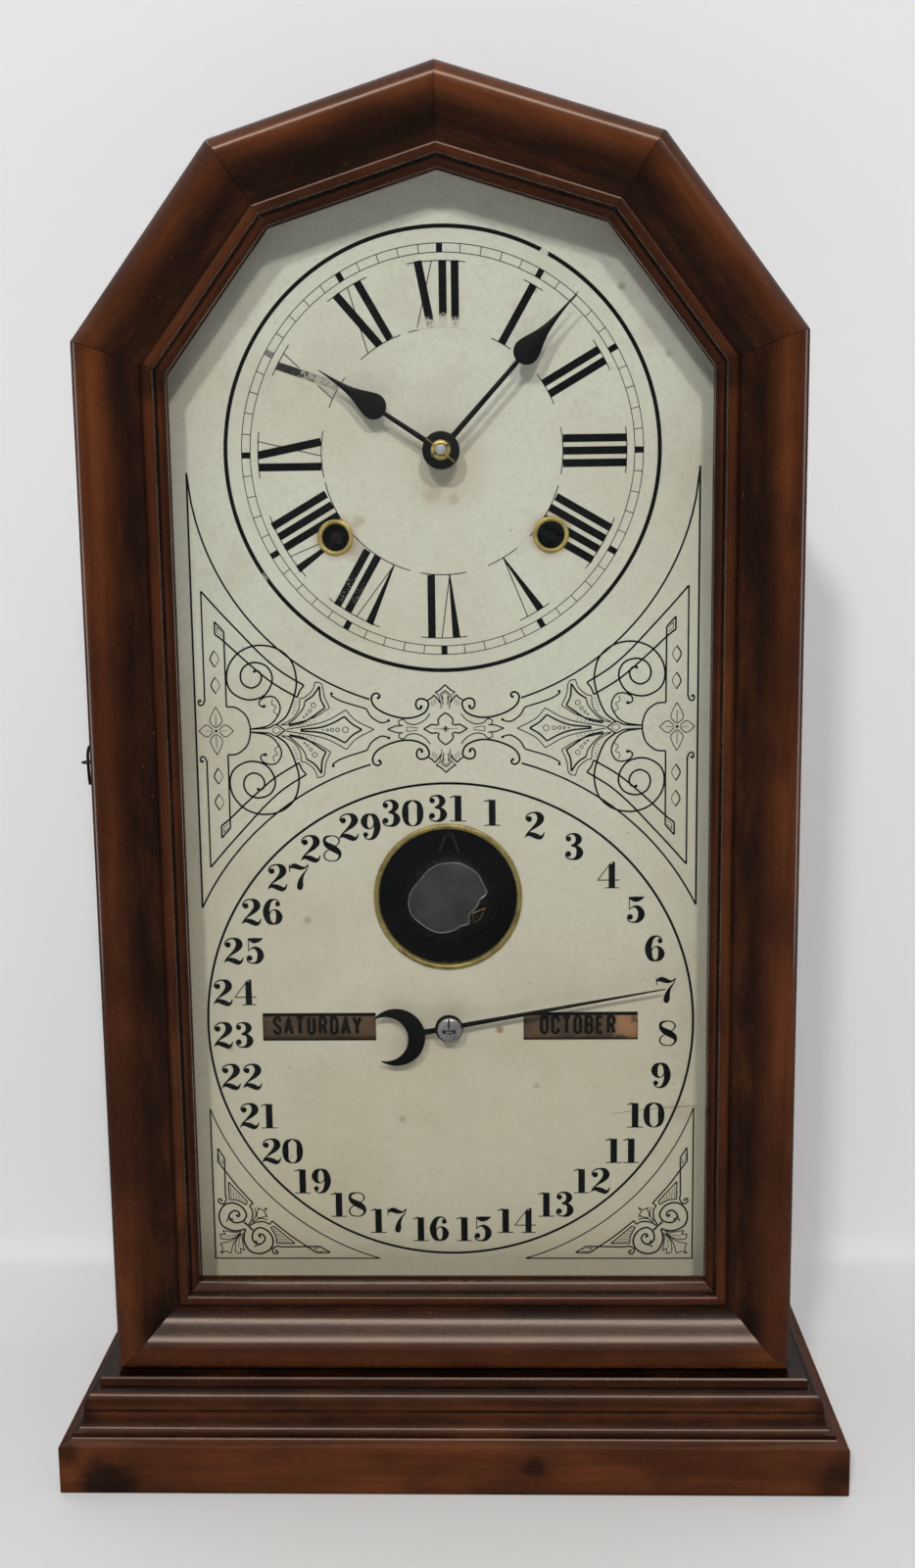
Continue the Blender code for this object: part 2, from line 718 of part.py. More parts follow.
def hinge_pocket(height):
    """Room in the case's edge for a hinge: a shallow bed for the leaf and a round for the knuckle."""
    half = HINGE_LENGTH / 2 + GAP
    bed = block(
        (HINGE_X - LEAF_WIDTH - 1.2, CASE_FRONT_Y - 1, height - half),
        (DOOR_HALF_WIDTH, CASE_FRONT_Y + LEAF_THICKNESS + 2 * GAP, height + half),
    )
    round_room = rod(
        (HINGE_X, HINGE_Y, height - half), (HINGE_X, HINGE_Y, height + half), HINGE_RADIUS + 0.5, 16
    )
    return bed, round_room


def build_case():
    screw = []
    inside = -DOOR_HALF_WIDTH + 4
    for start, end, radius, count in (
        (inside, HOOK_X - 1.0, 1.1, 8),
        (inside, HOOK_X + 0.9, 2.8, 12),
        (HOOK_X - 0.9, HOOK_X - 1.9, 2.8, 12),
    ):
        screw.append(rod((start, HOOK_PIVOT_Y, HOOK_HEIGHT), (end, HOOK_PIVOT_Y, HOOK_HEIGHT), radius, count))
    piece("case_left_side", "walnut", "case", [case_side(-1)] + screw)
    pockets = []
    for height in HINGE_HEIGHTS.values():
        pockets += hinge_pocket(height)
    piece("case_right_side", "walnut", "case", [case_side(1)], pockets)
    piece("roof_left", "walnut", "case", [roof_side((1, 2, 3))])
    piece("roof_right", "walnut", "case", [roof_side((3, 4, 5))])
    outline = arch_outline(CASE_INNER_INSET + GAP, CASE_BOTTOM_Z)
    piece("back_board", "pine", "case", [prism(outline, BACK_BOARD_FRONT_Y, CASE_BACK_Y)])


DOOR_MEMBERS = (
    "door_left_stile",
    "door_lower_left_arch",
    "door_upper_left_arch",
    "door_upper_right_arch",
    "door_lower_right_arch",
    "door_right_stile",
    "door_bottom_rail",
)


def build_door():
    profile = door_profile()
    half = HINGE_LENGTH / 2 + GAP
    cuts = {name: [] for name in DOOR_MEMBERS}
    for height in HINGE_HEIGHTS.values():
        low = (HINGE_X - LEAF_WIDTH - 1.2, DOOR_BACK_Y - LEAF_THICKNESS - GAP, height - half)
        high = (DOOR_HALF_WIDTH + 1, DOOR_BACK_Y + 1, height + half)
        cuts["door_right_stile"].append(block(low, high))
    hole_ends = [(-DOOR_HALF_WIDTH + x, HOOK_EYE_Y, HOOK_HEIGHT) for x in (-1, 3.5)]
    cuts["door_left_stile"].append(rod(*hole_ends, 0.9))
    for index, name in enumerate(DOOR_MEMBERS):
        piece(name, "walnut", "door", [mitred_member(profile, index)], cuts[name])
    rebate = FRAME_WIDTH - REBATE_WIDTH + GAP
    glass_front = DOOR_BACK_Y - REBATE_DEPTH + GAP
    glass = prism(door_outline(rebate), glass_front, glass_front + GLASS_THICKNESS)
    piece("door_glass", "glass", "door", [glass])
    bead_front = glass_front + GLASS_THICKNESS + GAP
    bead_back = bead_front + GLAZING_BEAD_THICKNESS
    section = ((rebate, bead_front), (FRAME_WIDTH, bead_front), (FRAME_WIDTH, bead_back), (rebate, bead_back))
    rings = []
    for index in range(7):
        spots = [(inset_corner(index, inset), y) for inset, y in section]
        rings.append([(spot.x, y, spot.y) for spot, y in spots])
    piece("glazing_bead", "walnut", "door", [loft(rings, closed=True)])


def knuckle(low, high, radius=HINGE_RADIUS):
    return rod((HINGE_X, HINGE_Y, low), (HINGE_X, HINGE_Y, high), radius, 8)


def build_hinges():
    """Brass butt hinges let into the case's edge and the back of the right stile."""
    for name, height in HINGE_HEIGHTS.items():
        low, high = height - HINGE_LENGTH / 2, height + HINGE_LENGTH / 2
        third = HINGE_LENGTH / 6
        lug = HINGE_RADIUS / 2
        leaf_front = DOOR_BACK_Y - LEAF_THICKNESS
        door_leaf = block((HINGE_X - LEAF_WIDTH - 0.9, leaf_front, low), (HINGE_X + lug, DOOR_BACK_Y, high))
        tongue = block(
            (HINGE_X - lug, DOOR_BACK_Y - LEAF_THICKNESS / 2, height - third + GAP),
            (HINGE_X + lug, HINGE_Y, height + third - GAP),
        )
        barrel = knuckle(height - third + GAP, height + third - GAP)
        bore = knuckle(height - third - 1, height + third + 1, HINGE_PIN_RADIUS + GAP)
        piece("hinge_" + name + "_door_leaf", "brass", "door", [door_leaf, tongue, barrel], [bore])
        case_leaf = block(
            (HINGE_X - LEAF_WIDTH - 0.9, CASE_FRONT_Y, low),
            (HINGE_X - HINGE_RADIUS - 0.4, CASE_FRONT_Y + LEAF_THICKNESS, high),
        )
        shapes = [case_leaf]
        for start, end in ((low, height - third), (height + third, high)):
            tab_low = (HINGE_X - HINGE_RADIUS - 0.8, CASE_FRONT_Y + 0.2, start)
            tab_high = (HINGE_X, CASE_FRONT_Y + LEAF_THICKNESS + 0.2, end)
            shapes += [block(tab_low, tab_high), knuckle(start, end)]
        shapes.append(knuckle(low + 0.5, high - 0.5, HINGE_PIN_RADIUS))
        piece("hinge_" + name + "_case_leaf", "brass", "case", shapes)


def build_hook():
    """A wire hook on the case's left side that drops through a screw eye on the door."""
    eyelet_radius = 2.2
    eyelet = []
    for i in range(12):
        turn = math.tau * i / 12
        y = HOOK_PIVOT_Y + eyelet_radius * math.cos(turn)
        eyelet.append((HOOK_X, y, HOOK_HEIGHT + eyelet_radius * math.sin(turn)))
    rise = 5.8
    points = [(HOOK_X, HOOK_PIVOT_Y - eyelet_radius, HOOK_HEIGHT)]
    points.append((HOOK_X, HOOK_PIVOT_Y - HOOK_REACH * 0.45, HOOK_HEIGHT + rise * 0.3))
    points.append((HOOK_X, HOOK_PIVOT_Y - HOOK_REACH * 0.75, HOOK_HEIGHT + rise * 0.88))
    points.append((HOOK_X, HOOK_PIVOT_Y - HOOK_REACH * 0.9, HOOK_HEIGHT + rise))
    for drop in (-3.6, -1.0, 1.5, 4.0, 6.5, 8.9):
        reach = math.sqrt(HOOK_REACH**2 - drop**2)
        points.append((HOOK_X, HOOK_PIVOT_Y - reach, HOOK_HEIGHT - drop))
    wire = tube(points, HOOK_WIRE, 6)
    piece("door_hook", "blued_steel", "door_hook", [tube(eyelet, HOOK_WIRE, 5, closed=True), wire])
    ring = []
    for i in range(12):
        turn = math.tau * i / 12
        x = HOOK_X + EYE_RADIUS * math.cos(turn)
        ring.append((x, HOOK_EYE_Y + EYE_RADIUS * math.sin(turn), HOOK_HEIGHT))
    ends = [(x, HOOK_EYE_Y, HOOK_HEIGHT) for x in (HOOK_X + EYE_RADIUS, -DOOR_HALF_WIDTH + 3)]
    shank = rod(*ends, 0.55)
    piece("hook_eye", "brass", "door", [tube(ring, EYE_WIRE, 5, closed=True), shank])


def set_ring(name, centre, bore, sleeve, flange, count):
    """A flanged brass ring pressed into a hole in the dial from the front."""
    front = DIAL_FRONT_Y - GAP - FLANGE_THICKNESS
    seat = DIAL_FRONT_Y - GAP
    profile = [(bore, front), (flange - 0.5, front), (flange, seat)]
    profile += [(bore + sleeve, seat), (bore + sleeve, seat + SLEEVE_LENGTH)]
    profile.append((bore, seat + SLEEVE_LENGTH))
    piece(name, "brass", "case", [turned(profile, centre, count)])


def build_dial():
    front, back = DIAL_FRONT_Y - 1, DIAL_BACK_Y + 1
    window = (0.0, WINDOW_CENTRE_Z)
    date = (0.0, CALENDAR_CENTRE_Z)
    holes = [(TIME_CENTRE, 3.6, 12), (date, DATE_ARBOR_RADIUS + 1, 12)]
    holes += [(window, WINDOW_RADIUS + BEZEL_SLEEVE + GAP, 32)]
    for spot in (TIME_WINDING, STRIKE_WINDING):
        holes.append((spot, GROMMET_HOLE_RADIUS + GROMMET_SLEEVE + GAP, 16))
    cutters = [prism(circle(spot, radius, count, 180 / count), front, back) for spot, radius, count in holes]
    half = NAME_WINDOW_HEIGHT / 2
    for side in (-1, 1):
        ends = sorted((side * NAME_WINDOW_INNER_X, side * (NAME_WINDOW_INNER_X + NAME_WINDOW_LENGTH)))
        cutters.append(block((ends[0], front, NAME_WINDOW_Z - half), (ends[1], back, NAME_WINDOW_Z + half)))
    plate = prism(arch_outline(DIAL_INSET, DOOR_BOTTOM_Z + DIAL_INSET), DIAL_FRONT_Y, DIAL_BACK_Y)
    piece("dial_plate", "dial_paint", "case", [plate], [merged(cutters)])
    set_ring("pendulum_bezel", window, WINDOW_RADIUS, BEZEL_SLEEVE, BEZEL_FLANGE_RADIUS, 32)
    for side, spot in (("left", STRIKE_WINDING), ("right", TIME_WINDING)):
        set_ring(
            "winding_grommet_" + side, spot, GROMMET_HOLE_RADIUS, GROMMET_SLEEVE, GROMMET_FLANGE_RADIUS, 16
        )


def hand_blade(centre, angle, widths, front, back):
    """A flat hand from (distance, half width) pairs, laid at a clockwise angle from 12."""
    turn = math.radians(angle)
    way = Vector((math.sin(turn), math.cos(turn)))
    across = Vector((way.y, -way.x))
    outline = [tuple(centre + way * reach + across * half) for reach, half in widths]
    outline += [tuple(centre + way * reach - across * half) for reach, half in reversed(widths)]
    return prism(outline, front, back)


def hub_ring(centre, radius, bore, front, back, count=14):
    rounding = 0.25
    profile = [(bore, front), (radius - rounding, front), (radius, front + rounding)]
    profile += [(radius, back), (bore, back)]
    return turned(profile, centre, count)


def spade(length, middle):
    """Half widths of a spade hand: a thin stem, a round bulge and a long hollow taper."""
    widths = [(5.5, 1.5), (middle - SPADE_RADIUS, HAND_STEM)]
    for angle in (30, 60, 90):
        turn = math.radians(angle)
        widths.append((middle - SPADE_RADIUS * math.cos(turn), SPADE_RADIUS * math.sin(turn)))
    for share in (0.8, 1.6, 2.6, 4.0):
        flank = 1 / (1 + (share / 1.84) ** 2)
        widths.append((middle + SPADE_RADIUS * share, SPADE_RADIUS * flank))
    return widths + [(length, HAND_TIP)]


def build_hands():
    back = HOUR_HAND_Y + HAND_THICKNESS
    widths = spade(HOUR_HAND_LENGTH, HOUR_SPADE_REACH)
    blade = hand_blade(TIME_CENTRE, HOUR_HAND_ANGLE, widths, HOUR_HAND_Y, back)
    ring = hub_ring(TIME_CENTRE, HAND_HUB_RADIUS, HOUR_PIPE_RADIUS + GAP, HOUR_HAND_Y - 0.2, back + 0.2)
    piece("hour_hand", "blued_steel", "hour", [ring, blade])
    back = MINUTE_HAND_Y + HAND_THICKNESS
    widths = spade(MINUTE_HAND_LENGTH, MINUTE_SPADE_REACH)
    blade = hand_blade(TIME_CENTRE, MINUTE_HAND_ANGLE, widths, MINUTE_HAND_Y, back)
    ring = hub_ring(TIME_CENTRE, HAND_HUB_RADIUS, HAND_SEAT_RADIUS + GAP, MINUTE_HAND_Y - 0.2, back + 0.2)
    piece("minute_hand", "blued_steel", "centre", [ring, blade])
    front = MINUTE_HAND_Y - 0.2 - GAP - COLLET_THICKNESS
    profile = [(HAND_SEAT_RADIUS + GAP, front), (COLLET_RADIUS - 1, front), (COLLET_RADIUS, front + 0.6)]
    profile += [(COLLET_RADIUS, front + COLLET_THICKNESS), (HAND_SEAT_RADIUS + GAP, front + COLLET_THICKNESS)]
    piece("hand_collet", "brass", "centre", [turned(profile, TIME_CENTRE, 14)])


# Arbors that come forward through the dial
CENTRE_ARBOR_RADIUS = 1.9
HAND_SEAT_RADIUS = 1.2
HOUR_PIPE_RADIUS = 3.2
ARBOR_TIP_Y = MINUTE_HAND_Y - ARBOR_TIP_RISE
TAPER_PIN_RADIUS = 0.35
WINDING_ARBOR_RADIUS = 3.0
WINDING_INNER_RADIUS = 2.0
WINDING_SQUARE = 2.1
WINDING_TIP_Y = DIAL_FRONT_Y + 3.5

# Layers of the wheels between the plates, as the y of their front faces
GREAT_WHEEL_Y = BACK_PLATE_Y - 10.5
SECOND_PINION = (BACK_PLATE_Y - 12.0, BACK_PLATE_Y - 7.0)
TIME_SECOND_WHEEL_Y = BACK_PLATE_Y - 5.3
CENTRE_PINION = (BACK_PLATE_Y - 5.9, BACK_PLATE_Y - 3.1)
CENTRE_WHEEL_Y = BACK_PLATE_Y - 15.5
THIRD_PINION = (BACK_PLATE_Y - 16.9, BACK_PLATE_Y - 12.9)
THIRD_WHEEL_Y = FRONT_PLATE_Y + 3.2
ESCAPE_PINION = (FRONT_PLATE_Y + 2.7, FRONT_PLATE_Y + 4.7)
ESCAPE_WHEEL_Y = FRONT_PLATE_Y - 2.0
STRIKE_SECOND_WHEEL_Y = BACK_PLATE_Y - 5.5
WARNING_PINION = (BACK_PLATE_Y - 6.3, BACK_PLATE_Y - 3.3)
WARNING_WHEEL_Y = BACK_PLATE_Y - 18.5
FLY_PINION = (BACK_PLATE_Y - 19.5, BACK_PLATE_Y - 16.5)
VANE_LAYER = (FRONT_PLATE_Y + 5.5, BACK_PLATE_Y - 21.0)
VANE_LENGTH = 13.0
VANE_THICKNESS = 0.6
SPRING_LAYER = (FRONT_PLATE_Y + 5.0, BACK_PLATE_Y - 14.5)
MAINSPRING_RADIUS = 22.0
MAINSPRING_STRIP = 0.7
RATCHET_Y = GREAT_WHEEL_Y - 1.8
RATCHET_RADIUS = 9.0
CANNON_Y = FRONT_PLATE_Y - 4.2
MINUTE_WHEEL_Y = FRONT_PLATE_Y - 3.8
HOUR_WHEEL_Y = FRONT_PLATE_Y - 7.0


def plate_holes(spots):
    """Pivot holes through both plates; each is (arbor, radius of what turns in it)."""
    cutters = []
    for spot, radius in spots:
        outline = circle(spot, radius + GAP, 6 if radius < 1 else 12)
        cutters.append(prism(outline, FRONT_PLATE_Y - 1, FRONT_PLATE_Y + PLATE_THICKNESS + 1))
    return merged(cutters)


def lift_rod_hole(bottom, top):
    ends = [(LIFT_ROD_X, LIFT_ROD_Y, z) for z in (bottom, top)]
    return rod(*ends, LIFT_ROD_RADIUS + GAP, 8)


def build_movement_frame():
    chamfer = 8.0
    half = PLATE_HALF_WIDTH
    outline = [(-half, PLATE_BOTTOM_Z + chamfer), (-half, PLATE_TOP_Z - chamfer)]
    outline += [(-half + chamfer, PLATE_TOP_Z), (half - chamfer, PLATE_TOP_Z)]
    outline += [(half, PLATE_TOP_Z - chamfer), (half, PLATE_BOTTOM_Z + chamfer)]
    outline += [(half - chamfer, PLATE_BOTTOM_Z), (-half + chamfer, PLATE_BOTTOM_Z)]
    pivots_at = [TIME_SECOND, THIRD, ESCAPE, STRIKE_SECOND, WARNING, FLY, HAMMER]
    small = [(spot, PIVOT_RADIUS) for spot in pivots_at]
    front_holes = small + [(TIME_CENTRE, CENTRE_ARBOR_RADIUS)]
    front_holes += [(spot, WINDING_ARBOR_RADIUS) for spot in (TIME_WINDING, STRIKE_WINDING)]
    plate_back = FRONT_PLATE_Y + PLATE_THICKNESS
    inside = FRONT_PLATE_Y + PLATE_THICKNESS / 2
    verge_stud = rod((0, ESCAPE_WHEEL_Y - 0.1, VERGE_Z), (0, inside, VERGE_Z), 1.0)
    motion_stud = rod(*((MINUTE_WHEEL[0], y, MINUTE_WHEEL[1]) for y in (HOUR_WHEEL_Y - 0.8, inside)), 1.0)
    cock = block((-2.5, PENDULUM_Y - 2.0, PENDULUM_PIVOT_Z + 2.3), (2.5, inside, PENDULUM_PIVOT_Z + 5.0))
    lug_top = PLATE_BOTTOM_Z + 4
    lug = block((LIFT_ROD_X - 3, LIFT_ROD_Y - 2.8, PLATE_BOTTOM_Z + 1), (LIFT_ROD_X + 3, inside, lug_top))
    eye = lift_rod_hole(PLATE_BOTTOM_Z - 2, lug_top + 2)
    piece(
        "front_plate",
        "brass",
        "case",
        [prism(outline, FRONT_PLATE_Y, plate_back), verge_stud, motion_stud, cock, lug],
        [plate_holes(front_holes), eye],
    )
    pillars = []
    for x in (-PILLAR_X, PILLAR_X):
        for z in (PLATE_BOTTOM_Z + PILLAR_MARGIN, PLATE_TOP_Z - PILLAR_MARGIN):
            ends = [(x, y, z) for y in (plate_back + GAP, BACK_BOARD_FRONT_Y - GAP)]
            pillars.append(rod(*ends, PILLAR_RADIUS, 8))
    back_holes = small + [(TIME_CENTRE, PIVOT_RADIUS)]
    back_holes += [(spot, WINDING_INNER_RADIUS) for spot in (TIME_WINDING, STRIKE_WINDING)]
    holes = plate_holes(back_holes)
    bmesh.ops.translate(holes, vec=(0, BACK_PLATE_Y - FRONT_PLATE_Y, 0), verts=holes.verts)
    plate = prism(outline, BACK_PLATE_Y, BACK_PLATE_Y + PLATE_THICKNESS)
    piece("back_plate", "brass", "case", [plate, merged(pillars)], [holes])


def build_winding(train, spot, second):
    """A winding arbor with its ratchet, the great wheel that turns on it and the mainspring."""
    steps = [(WINDING_TIP_Y + 7.5, WINDING_ARBOR_RADIUS), (GREAT_WHEEL_Y - GAP, WINDING_INNER_RADIUS)]
    arbor = stepped(steps, BETWEEN_BACK_Y + PLATE_THICKNESS, spot, 10)
    half = WINDING_SQUARE
    corners = [(-half, -half), (half, -half), (half, half), (-half, half)]
    square = prism([(spot[0] + a, spot[1] + b) for a, b in corners], WINDING_TIP_Y, WINDING_TIP_Y + 8)
    teeth = 18
    outline = []
    for i in range(teeth):
        outline.append(tuple(polar(spot, 360 * i / teeth, RATCHET_RADIUS)))
        outline.append(tuple(polar(spot, 360 * (i + 0.9) / teeth, RATCHET_RADIUS - 1.2)))
    ratchet = prism(outline, RATCHET_Y, RATCHET_Y + 1)
    piece(train + "_winding_arbor", "steel", train + "_winding", [arbor, square, ratchet])

    wheel = spoked_wheel(
        spot, GREAT_TEETH, GREAT_MODULE, towards(spot, second), GREAT_WHEEL_Y, GREAT_THICKNESS, hub=6.0
    )
    click = block(
        (spot[0] + RATCHET_RADIUS + GAP, RATCHET_Y, spot[1] - 1.1),
        (spot[0] + RATCHET_RADIUS + 6, GREAT_WHEEL_Y + 0.5, spot[1] + 1.1),
    )
    bore = prism(circle(spot, WINDING_INNER_RADIUS + GAP, 14), GREAT_WHEEL_Y - 1, GREAT_WHEEL_Y + 4)
    piece(train + "_great_wheel", "brass", train + "_great", [wheel, click], [bore])

    turns, steps_per_turn = 3.5, 10
    inner = WINDING_ARBOR_RADIUS + 2 * GAP
    count = int(turns * steps_per_turn) + 1
    inside, outside = [], []
    for i in range(count):
        angle = 360 * i / steps_per_turn
        radius = inner + (MAINSPRING_RADIUS - inner) * i / (count - 1)
        inside.append(tuple(polar(spot, angle, radius)))
        outside.append(tuple(polar(spot, angle, radius + MAINSPRING_STRIP)))
    piece(train + "_mainspring", "steel", "case", [prism(inside + outside[::-1], *SPRING_LAYER)])


def train_arbor(name, spot, leaves, module, facing, layer, wheel=None):
    """An arbor between the plates with a pinion and, if given, a wheel:
    wheel is (teeth, module, direction of the pinion it drives, y of its face)."""
    shapes = [between_plates(spot), pinion(spot, leaves, module, facing, *layer)]
    if wheel:
        teeth, wheel_module, heading, front = wheel
        shapes.append(prism(toothed_outline(spot, teeth, wheel_module, heading), front, front + THIN_WHEEL))
    piece(name, "brass", name.removesuffix("_wheel"), shapes)


def build_time_train():
    back = BETWEEN_BACK_Y + PLATE_THICKNESS
    steps = [(ARBOR_TIP_Y, HAND_SEAT_RADIUS), (MINUTE_HAND_Y + HAND_THICKNESS + 0.5, CENTRE_ARBOR_RADIUS)]
    steps.append((BETWEEN_BACK_Y, PIVOT_RADIUS))
    facing = towards(TIME_CENTRE, TIME_SECOND)
    drive = towards(TIME_CENTRE, THIRD)
    cannon_end = CANNON_Y + 2
    pin_y = ARBOR_TIP_Y + 0.9
    shapes = [
        stepped(steps, back, TIME_CENTRE, 10),
        pinion(TIME_CENTRE, CENTRE_LEAVES, TIME_SECOND_MODULE, facing, *CENTRE_PINION),
        spoked_wheel(TIME_CENTRE, CENTRE_TEETH, CENTRE_MODULE, drive, CENTRE_WHEEL_Y, WHEEL_THICKNESS),
        pinion(TIME_CENTRE, CANNON_LEAVES, MINUTE_MODULE, MINUTE_WHEEL_ANGLE, CANNON_Y, cannon_end),
        rod((-3.6, pin_y, TIME_CENTRE_Z - 2.4), (3.6, pin_y, TIME_CENTRE_Z + 2.4), TAPER_PIN_RADIUS, 6),
    ]
    piece("centre_arbor", "steel", "centre", shapes)

    facing = towards(TIME_SECOND, TIME_WINDING)
    drive = towards(TIME_SECOND, TIME_CENTRE)
    wheel = (TIME_SECOND_TEETH, TIME_SECOND_MODULE, drive, TIME_SECOND_WHEEL_Y)
    train_arbor(
        "time_second_wheel", TIME_SECOND, SECOND_LEAVES, GREAT_MODULE, facing, SECOND_PINION, wheel
    )
    wheel = (THIRD_TEETH, THIRD_MODULE, towards(THIRD, ESCAPE), THIRD_WHEEL_Y)
    facing = towards(THIRD, TIME_CENTRE)
    train_arbor("third_wheel", THIRD, THIRD_LEAVES, CENTRE_MODULE, facing, THIRD_PINION, wheel)

    steps = [(ESCAPE_WHEEL_Y - 0.3, PIVOT_RADIUS), (BETWEEN_FRONT_Y, ARBOR_RADIUS)]
    steps.append((BETWEEN_BACK_Y, PIVOT_RADIUS))
    facing = towards(ESCAPE, THIRD)
    outline = []
    for i in range(ESCAPE_TEETH):
        outline.append(tuple(polar(ESCAPE, 360 * i / ESCAPE_TEETH, ESCAPE_RADIUS)))
        outline.append(tuple(polar(ESCAPE, 360 * (i + 0.75) / ESCAPE_TEETH, ESCAPE_RADIUS - 1.7)))
    shapes = [
        stepped(steps, back, ESCAPE),
        pinion(ESCAPE, ESCAPE_LEAVES, THIRD_MODULE, facing, *ESCAPE_PINION),
        prism(outline, ESCAPE_WHEEL_Y, ESCAPE_WHEEL_Y + THIN_WHEEL),
    ]
    piece("escape_wheel", "brass", "escape", shapes)


def build_motion_work():
    facing = towards(MINUTE_WHEEL, TIME_CENTRE)
    wheel = prism(
        toothed_outline(MINUTE_WHEEL, MINUTE_TEETH, MINUTE_MODULE, facing),
        MINUTE_WHEEL_Y,
        MINUTE_WHEEL_Y + WHEEL_THICKNESS,
    )
    pinion = prism(
        toothed_outline(MINUTE_WHEEL, HOUR_PINION_LEAVES, HOUR_MODULE, facing),
        HOUR_WHEEL_Y - 0.4,
        MINUTE_WHEEL_Y + 0.4,
    )
    bore = prism(circle(MINUTE_WHEEL, 1.0 + GAP, 10), HOUR_WHEEL_Y - 5, FRONT_PLATE_Y)
    piece("minute_wheel", "brass", "minute_wheel", [wheel, pinion], [bore])

    facing = towards(TIME_CENTRE, MINUTE_WHEEL) + 180 / HOUR_TEETH
    wheel = prism(
        toothed_outline(TIME_CENTRE, HOUR_TEETH, HOUR_MODULE, facing),
        HOUR_WHEEL_Y,
        HOUR_WHEEL_Y + WHEEL_THICKNESS,
    )
    pipe = stepped([(HOUR_HAND_Y - 0.5, HOUR_PIPE_RADIUS)], HOUR_WHEEL_Y + 0.6, TIME_CENTRE, 12)
    bore = prism(circle(TIME_CENTRE, CENTRE_ARBOR_RADIUS + GAP, 10), HOUR_HAND_Y - 3, FRONT_PLATE_Y)
    piece("hour_wheel", "brass", "hour", [wheel, pipe], [bore])


def build_strike_train():
    facing = towards(STRIKE_SECOND, STRIKE_WINDING)
    drive = towards(STRIKE_SECOND, WARNING)
    wheel = (STRIKE_SECOND_TEETH, STRIKE_SECOND_MODULE, drive, STRIKE_SECOND_WHEEL_Y)
    train_arbor(
        "strike_second_wheel", STRIKE_SECOND, SECOND_LEAVES, GREAT_MODULE, facing, SECOND_PINION, wheel
    )
    facing = towards(WARNING, STRIKE_SECOND)
    wheel = (WARNING_TEETH, WARNING_MODULE, towards(WARNING, FLY), WARNING_WHEEL_Y)
    train_arbor(
        "warning_wheel", WARNING, WARNING_LEAVES, STRIKE_SECOND_MODULE, facing, WARNING_PINION, wheel
    )
    front, back = VANE_LAYER
    low = (FLY[0] - VANE_LENGTH, front, FLY[1] - VANE_THICKNESS / 2)
    vanes = block(low, (FLY[0] + VANE_LENGTH, back, FLY[1] + VANE_THICKNESS / 2))
    leaves = pinion(FLY, FLY_LEAVES, WARNING_MODULE, towards(FLY, WARNING), *FLY_PINION)
    piece("fly", "brass", "fly", [between_plates(FLY), leaves, vanes])


